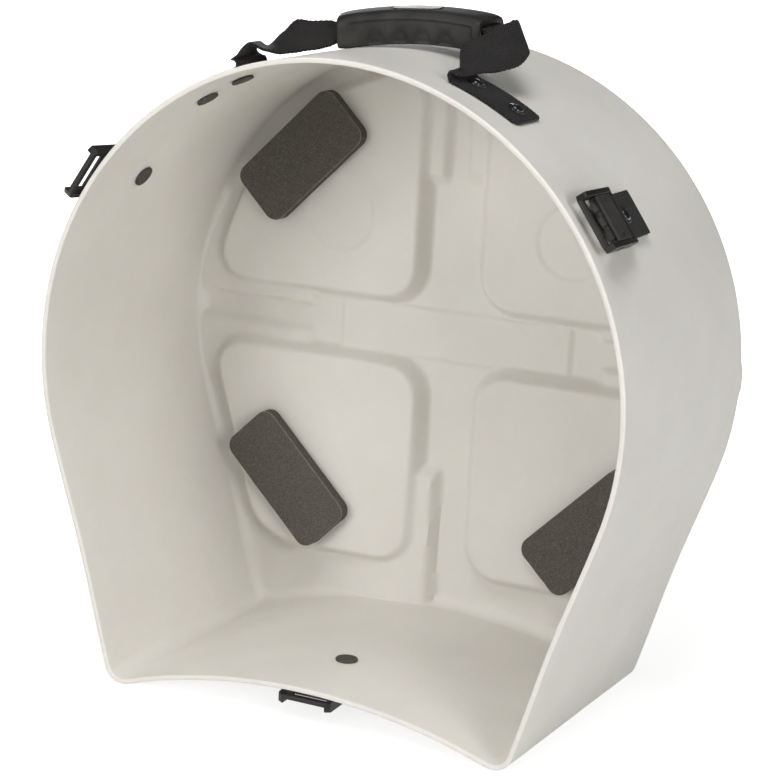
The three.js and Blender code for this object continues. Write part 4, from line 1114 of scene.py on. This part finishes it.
def rod_section(y, radius):
    """A full round at the buckle's own height, in 24 sides."""
    return arc_section(y, 0, radius, 0, 345, 23)


def bars(name, sections, place, material, bevel):
    """One mesh of bars: section, lowest and highest across, and the far end's section if it differs."""
    points, faces = [], []
    for section, low, high, *end in sections:
        first, count = len(points), len(section)
        for across, shape in ((low, section), (high, end[0] if end else section)):
            points += [place @ Vector((across, y, z)) for y, z in shape]
        faces += sheet_faces(2, count, wrap_columns=True, first=first) + end_faces(2, count, first)
    piece = new_piece(name, points, faces, material)
    soften = piece.modifiers.new("eased edges", "BEVEL")
    soften.width, soften.segments, soften.limit_method = bevel * MM, BEVEL_STEPS, "ANGLE"
    soften.angle_limit, soften.harden_normals = BEVEL_ANGLE, True
    bpy.context.view_layer.update()
    shaped = bpy.data.meshes.new_from_object(piece.evaluated_get(bpy.context.evaluated_depsgraph_get()))
    piece.modifiers.clear()
    piece.data = shaped
    shaped.polygons.foreach_set("use_smooth", [True] * len(shaped.polygons))
    keep_edges(piece)
    return piece


# %% [markdown]
# ### The loops
#
# A loop comes from under the rivet, goes round the rear bar, slopes back down and lies flat on itself.
# `LOOP_LEAN` is the angle round the bar at which the webbing leaves it.

# %% Latch loops
BAR_PLACE, LOOP_LEAN, LOOP_BACK, LOOP_SETTLE = 51.0, 50, (88.0, 76.0, 66.0, 58.0), 0.6
TURN_STEPS, LOOP_STEPS, LOOP_YARNS = 10, 9, 16


def make_loop(name, place):
    inner, lean = BAR_RADIUS + SEAT_GAP + LOOP_THICK / 2, math.radians(LOOP_LEAN)
    low = BAR_HEIGHT - inner
    upper = low + LOOP_THICK + SEAT_GAP
    slope_y, slope_z = BAR_PLACE + inner * math.cos(lean), BAR_HEIGHT + inner * math.sin(lean)
    foot = slope_y + (slope_z - upper) * math.tan(lean)
    line = [(y, low) for y in LOOP_BACK]
    line += arc_section(BAR_PLACE, BAR_HEIGHT, inner, 270, LOOP_LEAN, TURN_STEPS)
    line += [((slope_y + foot) / 2, (slope_z + upper) / 2), (foot + LOOP_SETTLE, upper)]
    line += [(y, upper) for y in LOOP_BACK[2::-1]]
    places = [np.array(place @ Vector((0, y, z))) for y, z in line]
    across = np.array((place.to_3x3() @ Vector((1, 0, 0))))
    piece = band("latch_webbing_" + name, places, [across] * len(places), [LOOP_WIDTH] * len(places),
                 [LOOP_THICK] * len(places), fine=LOOP_STEPS, yarns=LOOP_YARNS)
    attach(piece, "case")
    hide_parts("webbing_loop_" + name)


# %% [markdown]
# ### The frames
#
# The frame is two rails, a low bar in front and a round one at the rear, and two small bosses that hold the
# lever's pin. The bars reach a little way into the rails, so that the pieces of the moulding join.

# %% Buckle frames
BUCKLE_REACH, RAIL_WIDTH, RAIL_TOP, RAIL_BOTTOM, FRAME_EASE = 48.0, 3.6, 4.2, 3.2, 0.35
FRONT_BAR, BAR_TOP, BAR_SLOPE, CORNER_CUT, BAR_LAP = 3.2, 1.0, 0.3, 2.2, 0.2
PIN_REACH, BOSS_RADIUS, BOSS_RISE, BOSS_LAP = 25.0, 2.6, 0.35, 0.1
END_STEPS, EASE_STEPS = 10, 5


def make_buckle(name, place):
    half, inside = BUCKLE_WIDTH / 2, BUCKLE_WIDTH / 2 - RAIL_WIDTH
    end, middle = (RAIL_TOP + RAIL_BOTTOM) / 2, (RAIL_TOP - RAIL_BOTTOM) / 2
    front, ease = -BUCKLE_REACH, RAIL_WIDTH / 2
    inner_rail, outer_rail = [
        arc_section(0, middle, end, -90, 90, END_STEPS)
        + arc_section(tip + ease, RAIL_TOP - ease, ease, 90, 180, EASE_STEPS)
        + arc_section(tip + ease, ease - RAIL_BOTTOM, ease, 180, 270, EASE_STEPS)
        for tip in (front, front + CORNER_CUT)]
    bar = (arc_section(front + ease, ease - RAIL_BOTTOM, ease, 180, 270, EASE_STEPS)
           + [(front + FRONT_BAR, -RAIL_BOTTOM), (front + FRONT_BAR, BAR_TOP - BAR_SLOPE)]
           + arc_section(front + ease, BAR_TOP - ease, ease, 90, 180, EASE_STEPS))
    rod, boss = rod_section(0, BAR_RADIUS), rod_section(-PIN_REACH, BOSS_RADIUS)
    sections = [(outer_rail, -half, -inside, inner_rail), (inner_rail, inside, half, outer_rail)]
    sections += [(section, -inside - BAR_LAP, inside + BAR_LAP) for section in (bar, rod)]
    sections += [(boss, -half - BOSS_RISE, -inside + BOSS_LAP), (boss, inside - BOSS_LAP, half + BOSS_RISE)]
    piece = bars("buckle_moulding_" + name, sections, place, BUCKLE_PLASTIC, FRAME_EASE)
    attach(piece, "buckle_" + name)
    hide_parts("buckle_frame_" + name)


# %% [markdown]
# ### The cam levers
#
# A lever is a flat plate with two square pockets in its top, a round hub on the pin, and three blunt teeth
# that grip the strap of the lid. The plate is drawn in a front and a rear half with bridges between them,
# and where no bridge is, a lower sill makes a pocket's floor. The bridges lie a hair inside the plate, so
# that no two faces coincide.

# %% Cam levers
LEVER_GAP, LEVER_THICK, LEVER_REAR, LEVER_LIP, LEVER_EASE = 0.4, 2.6, -5.2, 5.0, 0.3
LEVER_POCKET, POCKET_DEPTH, BRIDGE_LAP, HAIR = 3.2, 1.0, 0.6, 0.02
HUB_RADIUS, TOOTH_REACH, TOOTH_ANGLE, TOOTH_SPREAD = 3.4, 5.7, math.radians(190), math.radians(26)
TEETH, TOOTH_HALF, LEVER_STEPS = (-9.5, 0.0, 9.5), 3.0, 8


def make_lever(name, place):
    width, ease, under = BUCKLE_WIDTH / 2 - RAIL_WIDTH - LEVER_GAP, LEVER_THICK / 2, RAIL_TOP - LEVER_THICK
    front = -PIN_REACH - LEVER_LIP
    pocket = 2 * LEVER_POCKET - PIN_REACH
    ahead, behind = pocket - LEVER_POCKET / 2, pocket + LEVER_POCKET / 2
    plate = [(ahead, under), (ahead, RAIL_TOP)]
    plate += arc_section(front + ease, RAIL_TOP - ease, ease, 90, 270, LEVER_STEPS)
    back = ([(behind, RAIL_TOP), (behind, under), (LEVER_REAR - ease, under)]
            + arc_section(LEVER_REAR - ease, RAIL_TOP - ease, ease, 0, 90, EASE_STEPS))
    start, end = ahead - BRIDGE_LAP, behind + BRIDGE_LAP
    bridge, sill = [
        [(start, under + low), (end, under + low), (end, RAIL_TOP - drop), (start, RAIL_TOP - drop)]
        for low, drop in ((HAIR, HAIR), (2 * HAIR, POCKET_DEPTH))]
    tooth = [(-PIN_REACH, 0.0)]
    for reach, spread in ((HUB_RADIUS, -2), (TOOTH_REACH, -0.5), (TOOTH_REACH, 0.5), (HUB_RADIUS, 2)):
        turn = TOOTH_ANGLE + spread * TOOTH_SPREAD
        tooth.append((reach * math.cos(turn) - PIN_REACH, reach * math.sin(turn)))
    outer, inner = width - LEVER_POCKET / 2, width - 3 * LEVER_POCKET / 2
    sections = [(plate, -width, width), (back, -width, width), (sill, HAIR - width, width - HAIR)]
    sections += [(bridge, -width, -outer), (bridge, -inner, inner), (bridge, outer, width)]
    sections += [(rod_section(-PIN_REACH, HUB_RADIUS), -width, width)]
    sections += [(tooth, centre - TOOTH_HALF, centre + TOOTH_HALF) for centre in TEETH]
    piece = bars("cam_lever_moulding_" + name, sections, place, LEVER_PLASTIC, LEVER_EASE)
    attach(piece, "lever_" + name)
    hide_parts("cam_lever_" + name)


# %% [markdown]
# The three latches are alike and differ only in where they lie and how far they lean off the shell. The
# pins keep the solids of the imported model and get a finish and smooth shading.

# %% All three latches
TILTS = {"right": 6.0, "left": 6.0, "bottom": 2.6}
for latch_name, latch_angle in LATCHES.items():
    seat_place = shell_place(latch_angle, 0.0)
    make_loop(latch_name, seat_place)
    buckle_place = (seat_place @ Matrix.Translation((0, BAR_PLACE, BAR_HEIGHT))
                    @ Matrix.Rotation(-math.radians(TILTS[latch_name]), 4, "X"))
    make_buckle(latch_name, buckle_place)
    make_lever(latch_name, buckle_place)
    pin = NODES["lever_pin_" + latch_name]
    pin.data.materials.clear()
    pin.data.materials.append(PIN_STEEL)
    pin.data.polygons.foreach_set("use_smooth", [True] * len(pin.data.polygons))
    keep_edges(pin)

# %% [markdown]
# ## The studio
#
# The photograph is a cut-out on white. The rear wall is as bright as the outside, and only the deep corners
# fall off, because the pale shell passes the light on from wall to wall. Five wide round lamps do the rest:
# one high in front for the base, one from the right for the outside and the inside of the left wall, one
# low from the left for the panels that the rim would shade, one above for the top, and a weak one behind
# for the rear wall's outside. The room itself gives almost nothing, so the blacks stay black. A wide pale
# floor catches the case's own soft shadow. To the camera half of the floor's light near the case is a glow
# of its own, and farther away all of it, so that it reads as plain white wherever no shadow falls. The
# studio's sizes are in metres and its lamps in watts.

# %% Floor
FLOOR_SIZE, FLOOR_GLOW = 40.0, 1.6
SHADOW_NEAR, SHADOW_FAR, SHADOW_SHARE = 0.35, 0.9, 0.5


def make_floor():
    mesh = bpy.data.meshes.new("floor")
    half = FLOOR_SIZE / 2
    corners = [(-half, -half, 0), (half, -half, 0), (half, half, 0), (-half, half, 0)]
    mesh.from_pydata(corners, [], [(0, 1, 2, 3)])
    floor = bpy.data.objects.new("floor", mesh)
    bpy.context.scene.collection.objects.link(floor)
    material, tree = new_material("white paper floor")
    path = add(tree, "LightPath")
    matt = add(tree, "BsdfDiffuse", {"Color": linear("#f4f4f2")})
    white = add(tree, "Emission", {"Color": (1, 1, 1, 1), "Strength": FLOOR_GLOW})
    place = add(tree, "TexCoord")
    away = add(tree, "VectorMath", {"operation": "LENGTH"}, {0: (place, "Object")})
    share = add(tree, "MapRange", {"From Min": SHADOW_NEAR, "From Max": SHADOW_FAR,
                                   "To Min": SHADOW_SHARE, "To Max": 0.0}, {"Value": (away, "Value")})
    seen = add(tree, "MixShader", links={"Fac": (share, 0), 1: (white, 0), 2: (matt, 0)})
    direct = add(tree, "Math", {"operation": "MAXIMUM"},
                 {0: (path, "Is Camera Ray"), 1: (path, "Is Glossy Ray")})
    mixed = add(tree, "MixShader", links={0: (direct, 0), 1: (matt, 0), 2: (seen, 0)})
    add(tree, "OutputMaterial", links={0: (mixed, 0)})
    mesh.materials.append(material)


make_floor()

# %% Lamps and room
LAMP_SIZE, LAMP_AIM, WORLD_FILL = 1.4, Vector((0, 0, 0.22)), 0.05
LAMPS = {
    "high": ((0.3, -1.7, 2.7), 28),
    "right": ((2.3, -1.5, 1.0), 30),
    "low left": ((-1.2, -3.0, 0.9), 34),
    "top": ((0.2, -0.4, 3.2), 22),
    "behind": ((-1.5, 2.8, 0.7), 18),
}


def make_lamp(name, place, power):
    data = bpy.data.lights.new(name, "AREA")
    data.shape, data.size, data.energy = "DISK", LAMP_SIZE, power
    lamp = bpy.data.objects.new(name, data)
    lamp.location = place
    lamp.rotation_euler = (LAMP_AIM - Vector(place)).to_track_quat("-Z", "Y").to_euler()
    bpy.context.scene.collection.objects.link(lamp)


def make_world():
    world = bpy.data.worlds.new("studio")
    world.use_nodes = True
    tree = world.node_tree
    tree.nodes.clear()
    path = add(tree, "LightPath")
    fill = add(tree, "Background", {"Color": (1, 1, 1, 1), "Strength": WORLD_FILL})
    white = add(tree, "Background", {"Color": (1, 1, 1, 1), "Strength": 1.0})
    mixed = add(tree, "MixShader", links={0: (path, "Is Camera Ray"), 1: (fill, 0), 2: (white, 0)})
    add(tree, "OutputWorld", links={0: (mixed, 0)})
    bpy.context.scene.world = world


make_world()
for lamp_name, (lamp_place, lamp_power) in LAMPS.items():
    make_lamp(lamp_name, lamp_place, lamp_power)
bpy.context.scene.view_settings.view_transform = "Standard"
print("lamps:", ", ".join(LAMPS))
